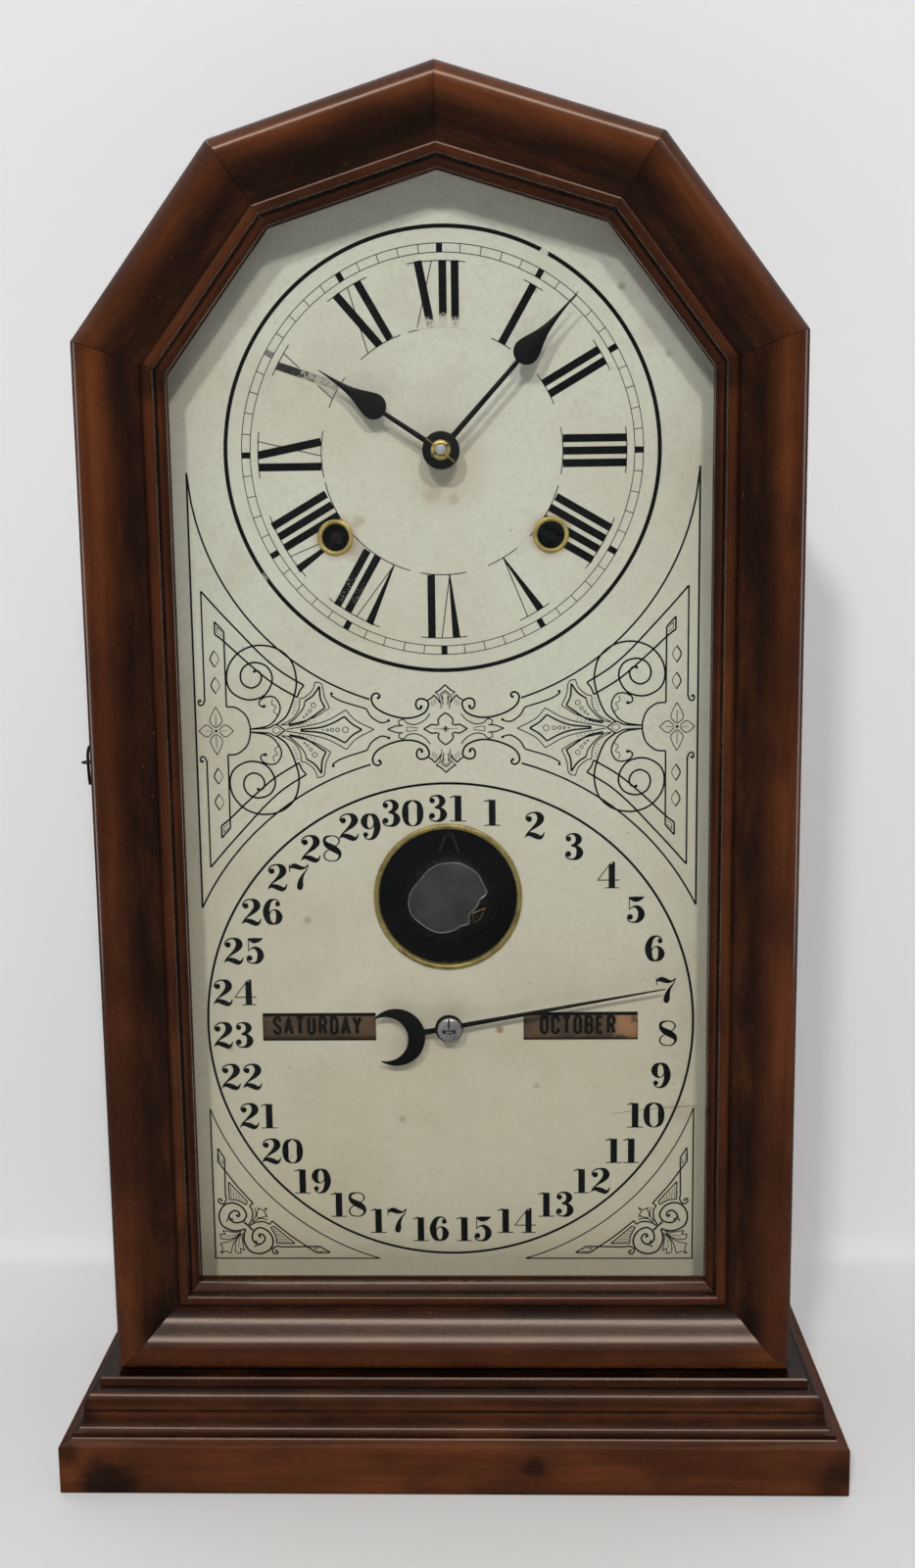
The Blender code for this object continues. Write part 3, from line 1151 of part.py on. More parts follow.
def build_pendulum():
    """The verge with its crutch, the pendulum rod on its suspension spring, and the bob."""
    thickness = 1.2
    front = ESCAPE_WHEEL_Y - 0.1
    half = [(0, 2.4), (3.0, 2.1), (11.2, -2.5), (11.6, -4.3), (9.05, -6.25), (8.5, -4.8), (2.6, -2.3)]
    outline = [(x, VERGE_Z + z) for x, z in half] + [(0, VERGE_Z - 2.5)]
    outline += [(-x, VERGE_Z + z) for x, z in reversed(half[1:])]
    strip = prism(outline, front, front + thickness)
    boss = rod((0, front - 2.0, VERGE_Z), (0, front + 0.3, VERGE_Z), 2.0, 12)
    crutch_y = front - 1.5
    crutch_end = ESCAPE_Z - ESCAPE_RADIUS - 2.5
    crutch = block((-0.6, crutch_y - 0.6, crutch_end - 1), (0.6, crutch_y + 0.6, VERGE_Z))
    yoke_half = PENDULUM_ROD_RADIUS + 0.5 + 1.1
    yoke = block(
        (-yoke_half, PENDULUM_Y - 1.4, crutch_end - 2), (yoke_half, crutch_y + 0.6, crutch_end)
    )
    slot = block(
        (-PENDULUM_ROD_RADIUS - 0.5, PENDULUM_Y - 3, crutch_end - 4),
        (PENDULUM_ROD_RADIUS + 0.5, crutch_y - 0.7, crutch_end + 2),
    )
    bore = rod((0, front - 0.6, VERGE_Z), (0, front + 4, VERGE_Z), 1.0 + GAP, 12)
    piece("verge", "steel", "verge", [strip, boss, crutch, yoke], [slot, bore])

    spring_top = PENDULUM_PIVOT_Z + 2.3 - GAP
    spring = block((-0.3, PENDULUM_Y - 1.4, spring_top - 8.5), (0.3, PENDULUM_Y + 1.4, spring_top))
    loop_top = BOB_CENTRE_Z + BOB_LOOP_TOP
    eye_radius, eye_wire = 2.4, 0.6
    eye_z = loop_top + eye_radius - BOB_WIRE - eye_wire - GAP
    eye = []
    for i in range(12):
        turn = math.tau * i / 12
        eye.append((0, PENDULUM_Y + eye_radius * math.cos(turn), eye_z + eye_radius * math.sin(turn)))
    ends = [(0, PENDULUM_Y, z) for z in (spring_top - 8, eye_z + eye_radius - 0.2)]
    wire = rod(*ends, PENDULUM_ROD_RADIUS)
    piece("pendulum_rod", "steel", "pendulum", [wire, spring, tube(eye, eye_wire, 6, closed=True)])

    profile = [(0, PENDULUM_Y - BOB_HALF_THICKNESS)]
    steps = 3
    for side in (-1, 1):
        for i in range(steps + 1):
            share = i / steps if side < 0 else 1 - i / steps
            turn = math.radians(20 + 62 * share)
            radius = BOB_RADIUS * math.sin(turn) / math.sin(math.radians(82))
            swell = (math.cos(turn) - math.cos(math.radians(82))) / (1 - math.cos(math.radians(82)))
            profile.append((radius, PENDULUM_Y + side * (0.8 + (BOB_HALF_THICKNESS - 0.8) * swell)))
    profile.append((0, PENDULUM_Y + BOB_HALF_THICKNESS))
    bob = turned(profile, (0, BOB_CENTRE_Z), 26)
    foot = BOB_CENTRE_Z + BOB_RADIUS * 0.82
    shoulder = loop_top - BOB_LOOP_HALF_WIDTH
    loop = [(-BOB_LOOP_HALF_WIDTH, PENDULUM_Y, foot - 2), (-BOB_LOOP_HALF_WIDTH * 0.92, PENDULUM_Y, foot + 3)]
    for i in range(7):
        turn = math.pi * (1 - i / 6)
        x = BOB_LOOP_HALF_WIDTH * 0.7 * math.cos(turn)
        loop.append((x, PENDULUM_Y, shoulder + BOB_LOOP_HALF_WIDTH * math.sin(turn)))
    loop += [(-x, y, z) for x, y, z in reversed(loop[:2])]
    piece("pendulum_bob", "steel", "pendulum", [bob, tube(loop, BOB_WIRE, 6)])


def build_gong():
    """A coiled gong on an iron post, and the hammer that hangs down to it."""
    centre = (0.0, GONG_CENTRE_Z)
    points_per_turn = 10
    count = int(GONG_TURNS * points_per_turn) + 1
    coil = []
    for i in range(count):
        turn = 360 * i / points_per_turn
        spot = polar(centre, 180 + turn, GONG_RADIUS - GONG_PITCH * turn / 360)
        coil.append((spot[0], GONG_Y, spot[1]))
    last = polar(centre, 180 + 360 * GONG_TURNS, 2.0)
    coil.append((last[0], GONG_Y, last[1]))
    foot = BACK_BOARD_FRONT_Y - GAP
    post = stepped([(GONG_Y - 2.2, 4.0), (foot - 2.5, 11.0)], foot, centre, 12)
    piece("gong", "steel", "case", [tube(coil, GONG_WIRE, 5), post])

    arbor = between_plates(HAMMER)
    reach = HAMMER_Z - GONG_CENTRE_Z - 2
    head_x = -GONG_RADIUS - GONG_WIRE - 6.5
    head_z = HAMMER_Z - reach
    arm = rod((HAMMER_X, GONG_Y, HAMMER_Z), (head_x, GONG_Y, head_z), 0.9, 8)
    head = rod((head_x - 3.5, GONG_Y, head_z), (head_x + 3.5, GONG_Y, head_z), HAMMER_HEAD_RADIUS, 12)
    piece("hammer", "steel", "hammer", [arbor, arm, head])


def roller(side, y, radius, count):
    """A name roller on its pivots, behind the window on one side."""
    centre = (y, NAME_WINDOW_Z)
    low = ROLLER_X - ROLLER_LENGTH / 2
    steps = [(low - 2.3, ROLLER_PIVOT), (low, radius), (low + ROLLER_LENGTH, ROLLER_PIVOT)]
    shape = stepped(steps, low + ROLLER_LENGTH + 2.3, centre, count, axis="x")
    if side < 0:
        bmesh.ops.scale(shape, vec=(-1, 1, 1), verts=shape.verts)
    return shape


def build_calendar():
    centre = (0.0, CALENDAR_CENTRE_Z)
    step = 360 / DATE_TEETH
    outline = []
    for i in range(DATE_TEETH):
        outline.append(tuple(polar(centre, i * step, DATE_WHEEL_RADIUS)))
        outline.append(tuple(polar(centre, (i + 0.85) * step, DATE_WHEEL_RADIUS - 2.2)))
    wheel = prism(outline, DATE_WHEEL_Y, DATE_WHEEL_Y + THIN_WHEEL)
    bridge_front = DATE_WHEEL_Y + 3.5
    bridge_back = bridge_front + CHEEK_THICKNESS
    steps = [(DATE_HAND_Y - 1.6, HAND_SEAT_RADIUS), (DATE_HAND_Y + HAND_THICKNESS + 0.5, DATE_ARBOR_RADIUS)]
    steps.append((bridge_front - GAP, HAND_SEAT_RADIUS))
    arbor = stepped(steps, bridge_back, centre, 12)
    piece("date_wheel", "brass", "date", [wheel, arbor])

    back = DATE_HAND_Y + HAND_THICKNESS
    middle = Vector(centre)
    turn = math.radians(DATE_HAND_ANGLE)
    way = Vector((math.sin(turn), math.cos(turn)))
    needle = hand_blade(
        middle,
        DATE_HAND_ANGLE,
        [(-CRESCENT_OFFSET + CRESCENT_RADIUS - 1.5, 1.5), (0, 1.3), (30, 0.9), (DATE_HAND_LENGTH, 0.2)],
        DATE_HAND_Y,
        back,
    )
    ring = hub_ring(middle, 4.2, HAND_SEAT_RADIUS + GAP, DATE_HAND_Y - 0.1, back + 0.2)
    moon = middle - way * CRESCENT_OFFSET
    facing = math.degrees(math.atan2(way.y, way.x))
    horn = 132.0
    points = [tuple(polar(moon, facing + horn * (i / 10 - 1), CRESCENT_RADIUS)) for i in range(21)]
    hollow = moon - way * 4.6
    inner_radius = (Vector(points[0]) - hollow).length
    inner_horn = math.degrees((Vector(points[-1]) - hollow).angle(way))
    for i in range(1, 16):
        points.append(tuple(polar(hollow, facing + inner_horn * (1 - i / 8), inner_radius)))
    crescent = prism(points, DATE_HAND_Y, back)
    seat = stepped([(DATE_HAND_Y - 1, HAND_SEAT_RADIUS + GAP)], back + 1, middle, 14)
    piece("date_hand", "blued_steel", "date", [ring, needle, crescent], [seat])

    seat = DATE_HAND_Y - 0.1 - GAP
    profile = [(0, seat - DATE_NUT_HEIGHT), (2.6, seat - DATE_NUT_HEIGHT + 0.2)]
    profile += [(4.6, seat - DATE_NUT_HEIGHT + 0.9), (DATE_NUT_RADIUS, seat - 0.7), (DATE_NUT_RADIUS, seat)]
    profile += [(HAND_SEAT_RADIUS + GAP, seat), (HAND_SEAT_RADIUS + GAP, seat - 1.5), (0, seat - 1.5)]
    slot = block((-0.55, seat - 4, CALENDAR_CENTRE_Z - 8), (0.55, seat - 1.95, CALENDAR_CENTRE_Z + 8))
    piece("date_hand_nut", "steel", "date", [turned(profile, centre, 16)], [slot])

    piece("weekday_roller", "roller_paper", "weekday", [roller(-1, WEEKDAY_Y, WEEKDAY_RADIUS, 21)])
    piece("month_roller", "roller_paper", "month", [roller(1, MONTH_Y, MONTH_RADIUS, 24)])

    front = DIAL_BACK_Y + GAP
    inner = ROLLER_X - ROLLER_LENGTH / 2 - 0.5
    outer = ROLLER_X + ROLLER_LENGTH / 2 + 0.5
    bar_bottom = NAME_WINDOW_Z - MONTH_RADIUS - 6.5
    cheek_top = NAME_WINDOW_Z + 6
    reach = outer + CHEEK_THICKNESS
    shapes = [block((-reach, front, bar_bottom), (reach, front + 10, bar_bottom + 3))]
    holes = []
    for side, depth in ((-1, WEEKDAY_Y), (1, MONTH_Y)):
        for near in (inner - CHEEK_THICKNESS, outer):
            ends = sorted((side * near, side * (near + CHEEK_THICKNESS)))
            shapes.append(block((ends[0], front + 0.1, bar_bottom + 1), (ends[1], depth + 4, cheek_top)))
        spread = sorted((side * (inner - CHEEK_THICKNESS - 1), side * (outer + CHEEK_THICKNESS + 1)))
        holes.append(rod(*((x, depth, NAME_WINDOW_Z) for x in spread), ROLLER_PIVOT + GAP, 8))
    bridge_reach = inner - CHEEK_THICKNESS / 2
    bridge_low = (-bridge_reach, bridge_front, CALENDAR_CENTRE_Z - 6)
    shapes.append(block(bridge_low, (bridge_reach, bridge_back, CALENDAR_CENTRE_Z + 6)))
    guide_top = LIFT_ROD_BOTTOM + 16
    post_low = (inner - CHEEK_THICKNESS + 0.1, LIFT_ROD_Y - 3, cheek_top - 3)
    shapes.append(block(post_low, (inner - 0.1, LIFT_ROD_Y + 3, guide_top)))
    guide_low = (inner - 0.9, LIFT_ROD_Y - 2.8, guide_top - 3)
    shapes.append(block(guide_low, (LIFT_ROD_X + 3, LIFT_ROD_Y + 2.8, guide_top - 0.1)))
    bearing = [(0, y, CALENDAR_CENTRE_Z) for y in (bridge_front - 1, bridge_back + 1)]
    holes.append(rod(*bearing, HAND_SEAT_RADIUS + GAP, 8))
    holes.append(lift_rod_hole(guide_top - 5, guide_top + 2))
    piece("calendar_frame", "cast_iron", "case", shapes, holes)

    finger_y = DATE_WHEEL_Y + THIN_WHEEL / 2
    path = [
        (LIFT_ROD_X, LIFT_ROD_Y, LIFT_ROD_TOP),
        (LIFT_ROD_X, LIFT_ROD_Y, LIFT_ROD_BOTTOM + LIFT_KNEE),
        (LIFT_ROD_X, finger_y, LIFT_ROD_BOTTOM - LIFT_KNEE / 2),
        (LIFT_ROD_X - LIFT_FINGER, finger_y, LIFT_ROD_BOTTOM - LIFT_FINGER_DROP),
    ]
    piece("calendar_lift_rod", "steel", "lift_rod", [tube(path, LIFT_ROD_RADIUS)])


def set_pivots():
    pivot("case", (0, 0, 0))
    pivot("door", (HINGE_X, HINGE_Y, 0), "case")
    pivot("door_hook", (HOOK_X, HOOK_PIVOT_Y, HOOK_HEIGHT), "case")
    arbors = {
        "centre": TIME_CENTRE,
        "hour": TIME_CENTRE,
        "minute_wheel": MINUTE_WHEEL,
        "time_winding": TIME_WINDING,
        "time_great": TIME_WINDING,
        "time_second": TIME_SECOND,
        "third": THIRD,
        "escape": ESCAPE,
        "verge": (0, VERGE_Z),
        "pendulum": (0, PENDULUM_PIVOT_Z),
        "strike_winding": STRIKE_WINDING,
        "strike_great": STRIKE_WINDING,
        "strike_second": STRIKE_SECOND,
        "warning": WARNING,
        "fly": FLY,
        "hammer": HAMMER,
        "date": (0, CALENDAR_CENTRE_Z),
    }
    for name, spot in arbors.items():
        pivot(name, (spot[0], 0, spot[1]), "case")
    pivot("weekday", (-ROLLER_X, WEEKDAY_Y, NAME_WINDOW_Z), "case")
    pivot("month", (ROLLER_X, MONTH_Y, NAME_WINDOW_Z), "case")
    pivot("lift_rod", (LIFT_ROD_X, LIFT_ROD_Y, LIFT_ROD_TOP), "case")


set_pivots()
build_base()
build_case()
build_door()
build_hinges()
build_hook()
build_dial()
build_hands()
build_movement_frame()
build_winding("time", TIME_WINDING, TIME_SECOND)
build_winding("strike", STRIKE_WINDING, STRIKE_SECOND)
build_time_train()
build_motion_work()
build_strike_train()
build_pendulum()
build_gong()
build_calendar()
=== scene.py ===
"""The looks of the shelf calendar clock: moulded walnut, printed dial paper, hands, brass and
name rollers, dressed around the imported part. Sizes are in millimetres in the clock's frame
(X right, +Y to the back, +Z up) and meshes are written in metres."""

import json
import math

import bmesh
import bpy
from mathutils import Matrix, Vector


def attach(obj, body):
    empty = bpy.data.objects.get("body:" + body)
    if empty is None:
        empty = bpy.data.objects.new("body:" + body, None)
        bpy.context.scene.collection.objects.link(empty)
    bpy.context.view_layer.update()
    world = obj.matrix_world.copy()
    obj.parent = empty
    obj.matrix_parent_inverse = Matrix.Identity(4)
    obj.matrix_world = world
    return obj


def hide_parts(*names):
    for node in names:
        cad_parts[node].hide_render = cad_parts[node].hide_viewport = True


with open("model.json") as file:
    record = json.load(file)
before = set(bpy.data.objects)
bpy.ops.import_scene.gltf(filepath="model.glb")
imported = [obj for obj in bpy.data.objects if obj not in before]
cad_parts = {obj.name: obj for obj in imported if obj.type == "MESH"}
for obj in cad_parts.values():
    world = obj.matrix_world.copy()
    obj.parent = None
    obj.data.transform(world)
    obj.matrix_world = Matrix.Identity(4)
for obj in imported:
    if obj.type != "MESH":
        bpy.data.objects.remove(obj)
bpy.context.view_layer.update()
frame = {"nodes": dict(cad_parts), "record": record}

MM = 0.001

# Case and door, as in the part
BASE_HALF_WIDTH = 157.0
BASE_HALF_DEPTH = 63.5
BASE_HEIGHT = 41.7
BASE_FRAME_WIDTH = 34.2
DOOR_HALF_WIDTH = 136.5
DOOR_SHOULDER_Z = 449.8
DOOR_UPPER_HALF_WIDTH = 83.5
DOOR_UPPER_Z = 520.0
DOOR_TOP_Z = 545.95
DOOR_BOTTOM_Z = 43.0
DOOR_BACK_Y = -30.0
FRAME_WIDTH = 33.0
MITRE_GAP = 0.1
HINGE_HEIGHTS = (109.0, 410.0)
HINGE_HALF_LENGTH = 19.3
HINGE_BED_INSET = 9.4
HINGE_BED_DEPTH = 1.3
HOOK_HEIGHT = 291.8
HOOK_X = -139.4
HOOK_EYE_Y = -36.3
HOOK_REACH = 28.3

# Dial
DIAL_FRONT_Y = -16.0
TIME_CENTRE = Vector((0.0, 410.0))
CALENDAR_CENTRE = Vector((0.0, 179.2))
WINDOW_CENTRE = Vector((0.0, 232.5))
WINDING_CENTRES = {"left": Vector((-42.5, 377.8)), "right": Vector((42.5, 377.8))}
WINDOW_RADIUS = 28.2
BEZEL_RADIUS = 30.4
GROMMET_BORE = 5.3
GROMMET_RADIUS = 7.1
PRINT_HEIGHT = 0.03
PRINT_SINK = 0.03
PRINT_STEP = 0.0015

# Hands, with the y of their front faces
MINUTE_HAND_Y = -27.2
MINUTE_HAND_ANGLE = 42.4
MINUTE_HAND_LENGTH = 78.0
MINUTE_SPADE_REACH = 49.0
HOUR_HAND_Y = -24.2
HOUR_HAND_ANGLE = 303.5
HOUR_HAND_LENGTH = 56.0
HOUR_SPADE_REACH = 31.0
HAND_THICKNESS = 0.8
HAND_HUB_RADIUS = 7.2
SPADE_RADIUS = 5.0
SPADE_STEM = 0.85
SPADE_FLANK = 1.84  # reach at which the flank is half the bulge, in bulge radii
DATE_HAND_Y = -22.4
DATE_HAND_ANGLE = 79.8
DATE_HAND_LENGTH = 89.5
CRESCENT_OFFSET = 22.2
CRESCENT_RADIUS = 12.0
CRESCENT_HORN = 132.0

# Rollers
ROLLER_X = 54.05
ROLLER_Z = 177.9
ROLLER_LENGTH = 50.0
WEEKDAY_RADIUS = 14.0
WEEKDAY_Y = -0.4
MONTH_RADIUS = 23.5
MONTH_Y = 9.1

# Pendulum bob
BOB_CENTRE = Vector((0.0, 227.0))
BOB_RADIUS = 20.5
BOB_Y = 6.0
BOB_RIM = 0.6
BOB_RIM_HALF = 0.9
BOB_HALF = 5.0


# Curves and outlines
def polar(centre, angle, distance):
    """The (x, z) point at an angle in degrees clockwise from straight up, seen from the front."""
    turn = math.radians(angle)
    return Vector((centre[0] + distance * math.sin(turn), centre[1] + distance * math.cos(turn)))


def arc(centre, radius, start, end, steps):
    """Points of a circle from one angle to another in degrees, with both ends."""
    turns = [math.radians(start + (end - start) * i / steps) for i in range(steps + 1)]
    return [(centre[0] + radius * math.cos(t), centre[1] + radius * math.sin(t)) for t in turns]


def quarter_curve(start, end, steps, hollow=False):
    """Points of a quarter ellipse: a swelling one leaves its start upright, a hollow one flat."""
    points = []
    for i in range(steps + 1):
        turn = math.pi / 2 * i / steps
        a, b = 1 - math.cos(turn), math.sin(turn)
        if hollow:
            a, b = b, a
        points.append((start[0] + (end[0] - start[0]) * a, start[1] + (end[1] - start[1]) * b))
    return points


def smooth_path(knots, steps, closed=False):
    """A curve through knots of any length, with the given steps from each knot to the next."""
    knots = [Vector(knot) for knot in knots]
    total = len(knots)
    points = []
    for i in range(total if closed else total - 1):
        if closed:
            p0, p1, p2, p3 = (knots[(i + k) % total] for k in (-1, 0, 1, 2))
        else:
            p1, p2 = knots[i], knots[i + 1]
            p0 = knots[i - 1] if i else p1 * 2 - p2
            p3 = knots[i + 2] if i + 2 < total else p2 * 2 - p1
        for k in range(steps):
            t = k / steps
            b = (p2 - p0) * t
            c = (p0 * 2 - p1 * 5 + p2 * 4 - p3) * t * t
            d = (p1 * 3 - p0 - p2 * 3 + p3) * t * t * t
            points.append((p1 * 2 + b + c + d) / 2)
    if not closed:
        points.append(knots[-1])
    return points


def directions(points, closed=False):
    """The direction of travel at each point of a line."""
    total = len(points)
    ways = []
    for i in range(total):
        before = points[i - 1] if i or closed else points[0]
        after = points[(i + 1) % total] if i < total - 1 or closed else points[-1]
        ways.append((after - before).normalized())
    return ways


def one_for_each(value, points):
    """A list of values as it is, or one value repeated for every point."""
    return value if isinstance(value, (list, tuple)) else [value] * len(points)


# Mesh building
def loft(rings, closed=False, shape=None):
    """Skin between rings of 3D points; open lofts get a flat cap at each end."""
    shape = shape or bmesh.new()
    rows = [[shape.verts.new(point) for point in ring] for ring in rings]
    pairs = list(zip(rows, rows[1:]))
    if closed:
        pairs.append((rows[-1], rows[0]))
    for lower, upper in pairs:
        for i in range(len(lower)):
            j = (i + 1) % len(lower)
            shape.faces.new((lower[i], lower[j], upper[j], upper[i]))
    if not closed:
        shape.faces.new(rows[0][::-1])
        shape.faces.new(rows[-1])
    return shape


def turned(profile, centre, count=96, axis="y"):
    """A profile of (radius, distance along the axis) points revolved about the y or x axis.
    A profile that starts and ends at radius 0 is solid, and any other closes on itself."""
    shape = bmesh.new()
    rows = []
    for i in range(count):
        turn = math.tau * (i + 0.5) / count
        row = []
        for radius, along in profile:
            a, b = centre[0] + radius * math.cos(turn), centre[1] + radius * math.sin(turn)
            row.append(shape.verts.new((a, along, b) if axis == "y" else (along, a, b)))
        rows.append(row)
    is_solid = profile[0][0] == 0 and profile[-1][0] == 0
    for i in range(count):
        here, after = rows[i], rows[(i + 1) % count]
        for j in range(len(profile) - is_solid):
            k = (j + 1) % len(profile)
            shape.faces.new((here[j], here[k], after[k], after[j]))
    weld = 0.0005
    bmesh.ops.remove_doubles(shape, verts=shape.verts, dist=weld)
    bmesh.ops.dissolve_degenerate(shape, edges=shape.edges, dist=weld)
    return shape


def tube(points, radii, count=12, closed=False, shape=None):
    """A round wire along 3D points; radii is one value or one for each point."""
    points = [Vector(point) for point in points]
    side = None
    rings = []
    for point, along, radius in zip(points, directions(points, closed), one_for_each(radii, points)):
        if side is None:
            side = along.cross((0, 0, 1)) if abs(along.z) < 0.9 else along.cross((1, 0, 0))
        side = (side - along * side.dot(along)).normalized()
        other = along.cross(side)
        ring = []
        for k in range(count):
            turn = math.tau * k / count
            ring.append(point + (side * math.cos(turn) + other * math.sin(turn)) * radius)
        rings.append(ring)
    return loft(rings, closed, shape)


def block(low, high):
    (x0, y0, z0), (x1, y1, z1) = low, high
    corners = [(x0, z0), (x1, z0), (x1, z1), (x0, z1)]
    return loft([[(x, y, z) for x, z in corners] for y in (y0, y1)])


def joined(shapes):
    result = bmesh.new()
    for shape in shapes:
        scratch = bpy.data.meshes.new("scratch")
        shape.to_mesh(scratch)
        shape.free()
        result.from_mesh(scratch)
        bpy.data.meshes.remove(scratch)
    return result


def add_object(name, data):
    made = bpy.data.objects.new(name, data)
    bpy.context.scene.collection.objects.link(made)
    return made


def add_mesh(name, shape):
    """An object made of a shape, which is used up."""
    mesh = bpy.data.meshes.new(name)
    shape.to_mesh(mesh)
    shape.free()
    return add_object(name, mesh)


def new_piece(name, shape, look, body, slot, replaces=(), sharp=35, cuts=(), grain=None):
    """A named piece that rides on a body. grain is (origin, axes): the wood's own directions."""
    bmesh.ops.recalc_face_normals(shape, faces=shape.faces)
    made = add_mesh(name, shape)
    for cutter in cuts:
        cut_away(made, cutter)
    if grain:
        origin, axes = grain
        layer = made.data.attributes.new("grain", "FLOAT_VECTOR", "POINT")
        for vertex, value in zip(made.data.vertices, layer.data):
            value.vector = [(vertex.co - origin).dot(axis) for axis in axes]
    made.data.transform(Matrix.Scale(MM, 4))
    made.data.materials.clear()
    made.data.materials.append(looks[look])
    made.data.shade_smooth()
    made.data.set_sharp_from_angle(angle=math.radians(sharp))
    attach(made, body)
    if replaces:
        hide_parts(*replaces)


def fine_piece(node, shape, look, body, slot, **more):
    """A piece that takes the place of the part's node of that name."""
    new_piece("fine_" + node, shape, look, body, slot, (node,), **more)


def cut_away(made, cutter):
    bmesh.ops.recalc_face_normals(cutter, faces=cutter.faces)
    tool = add_mesh("cutter", cutter)
    modifier = made.modifiers.new("cut", "BOOLEAN")
    modifier.operation = "DIFFERENCE"
    modifier.object = tool
    bpy.context.view_layer.objects.active = made
    bpy.ops.object.modifier_apply(modifier=modifier.name)
    mesh = tool.data
    bpy.data.objects.remove(tool, do_unlink=True)
    bpy.data.meshes.remove(mesh)


# Materials: a small node language
looks = {}


class Nodes:
    """Short ways to add nodes to a tree."""

    def __init__(self, tree):
        self.tree = tree

    def link(self, source, target):
        """Gives a socket a number, a vector, a colour or another node's output."""
        if isinstance(source, (int, float)):
            target.default_value = source
        elif isinstance(source, tuple):
            target.default_value = (*source, 1.0) if len(target.default_value) == 4 else source
        else:
            self.tree.links.new(source, target)

    def node(self, kind, sockets=(), **settings):
        """A node with its settings, and sockets as pairs of a socket's key and its source."""
        made = self.tree.nodes.new(kind)
        for key, value in settings.items():
            setattr(made, key, value)
        for key, source in dict(sockets).items():
            self.link(source, made.inputs[key])
        return made

    def scaled(self, vector, scale, rotation=(0, 0, 0)):
        sockets = {"Vector": vector, "Scale": scale, "Rotation": rotation}
        return self.node("ShaderNodeMapping", sockets).outputs["Vector"]

    def math(self, operation, first, second=0.0):
        return self.node("ShaderNodeMath", {0: first, 1: second}, operation=operation).outputs[0]

    def remap(self, value, low, high, out_low=0.0, out_high=1.0):
        """Carries low..high to out_low..out_high smoothly, and holds the ends."""
        sockets = enumerate((value, low, high, out_low, out_high))
        made = self.node("ShaderNodeMapRange", sockets, interpolation_type="SMOOTHSTEP")
        return made.outputs["Result"]

    def mix(self, share, first, second):
        sockets = {"Factor": share, "A": first, "B": second}
        return self.node("ShaderNodeMix", sockets, data_type="RGBA").outputs["Result"]

    def split(self, vector):
        return self.node("ShaderNodeSeparateXYZ", {0: vector}).outputs


class Look(Nodes):
    """One Principled material; place is the position in metres, fixed to the body it rides on."""

    def __init__(self, name, roughness=0.5, metallic=0.0):
        material = bpy.data.materials.new(name)
        material.use_nodes = True
        super().__init__(material.node_tree)
        self.shader = self.tree.nodes["Principled BSDF"]
        self.place = self.node("ShaderNodeTexCoord").outputs["Object"]
        self.drive("Roughness", roughness)
        self.drive("Metallic", metallic)
        looks[name] = material

    def drive(self, socket, source):
        self.link(source, self.shader.inputs[socket])

    def noise(self, scale, detail=4.0, roughness=0.55, distortion=0.0, vector=None):
        sockets = {"Vector": self.place if vector is None else vector, "Scale": scale, "Detail": detail}
        sockets.update({"Roughness": roughness, "Distortion": distortion})
        return self.node("ShaderNodeTexNoise", sockets).outputs["Fac"]

    def fibres(self, place, along, across, *settings):
        """Noise with one scale along the first direction and another across it."""
        return self.noise(1.0, *settings, vector=self.scaled(place, (along, across, across)))

    def cover(self, base, source, low, high, strength, colour):
        """Lays a colour over the base where the source rises from low to high."""
        return self.mix(self.remap(source, low, high, 0.0, strength), base, colour)

    def distance(self, point):
        """The distance in metres from a point (x, y, z) in mm."""
        sockets = {0: self.place, 1: tuple(value * MM for value in point)}
        return self.node("ShaderNodeVectorMath", sockets, operation="DISTANCE").outputs["Value"]

    def blot(self, point, outer, inner, strength, noise=None, spread=0.0):
        """The share of a round blot, from none at the outer reach to full at the inner one, in
        mm. The noise, times spread, makes its edge ragged."""
        away = self.distance(point)
        if noise is not None:
            away = self.math("ADD", away, self.math("MULTIPLY", noise, spread * MM))
        return self.remap(away, outer * MM, inner * MM, 0.0, strength)

    def bump(self, height, strength, reach):
        """reach is the height of the relief in metres."""
        sockets = {"Strength": strength, "Distance": reach, "Height": height}
        self.drive("Normal", self.node("ShaderNodeBump", sockets).outputs["Normal"])


GRAIN_TURNS = {"x": (0.0, 0.0, 0.0), "z": (0.0, math.radians(90), 0.0)}
IN_MM = (1000, 1000, 1000)
WALNUT_DARK = (0.020, 0.0056, 0.0022)
WALNUT_MIDDLE = (0.047, 0.0125, 0.0040)
WALNUT_LIGHT = (0.082, 0.0225, 0.0066)
# The colour of the pores, and of the painted shade along the mouldings
WALNUT_PORE_AND_SHADE = (0.006, 0.003, 0.002)
WALNUT_BARE = (0.26, 0.13, 0.065)
PATCH_COLOUR = (0.005, 0.0028, 0.0020)
PAPER_LIT_TOP = (0.575, 0.58, 0.485)
PAPER_SHADED_YELLOWED_FOOT = (0.51, 0.475, 0.35)
PAPER_CLOUD = (0.42, 0.33, 0.20)
PAPER_RUBBED = (0.50, 0.47, 0.39)
FOXING = (0.20, 0.14, 0.075)
BRASS_STAIN = (0.33, 0.20, 0.13)
BROWN_STAIN = (0.24, 0.13, 0.07)
CENTRE_STAIN = (0.38, 0.30, 0.17)

# Painted shade, with some grime, in bands along the mouldings, as (distance, half width,
# strength): across the door frame from its outer edge, and up the base
FRAME_SHADE_AND_GRIME = (
    (19.5, 12.0, 0.74),
    (24.4, 2.2, 0.5),
    (29.8, 0.9, 0.9),
    (32.4, 2.6, 0.55),
    (0.0, 1.0, 0.3),
)
BASE_SHADE_AND_GRIME = (
    (0.0, 2.5, 0.45),
    (22.2, 1.6, 0.8),
    (26.0, 5.0, 0.62),
    (30.5, 1.1, 0.85),
    (34.5, 4.5, 0.55),
    (37.6, 1.3, 0.85),
    (39.8, 2.6, 0.6),
    (41.9, 0.9, 0.85),
)
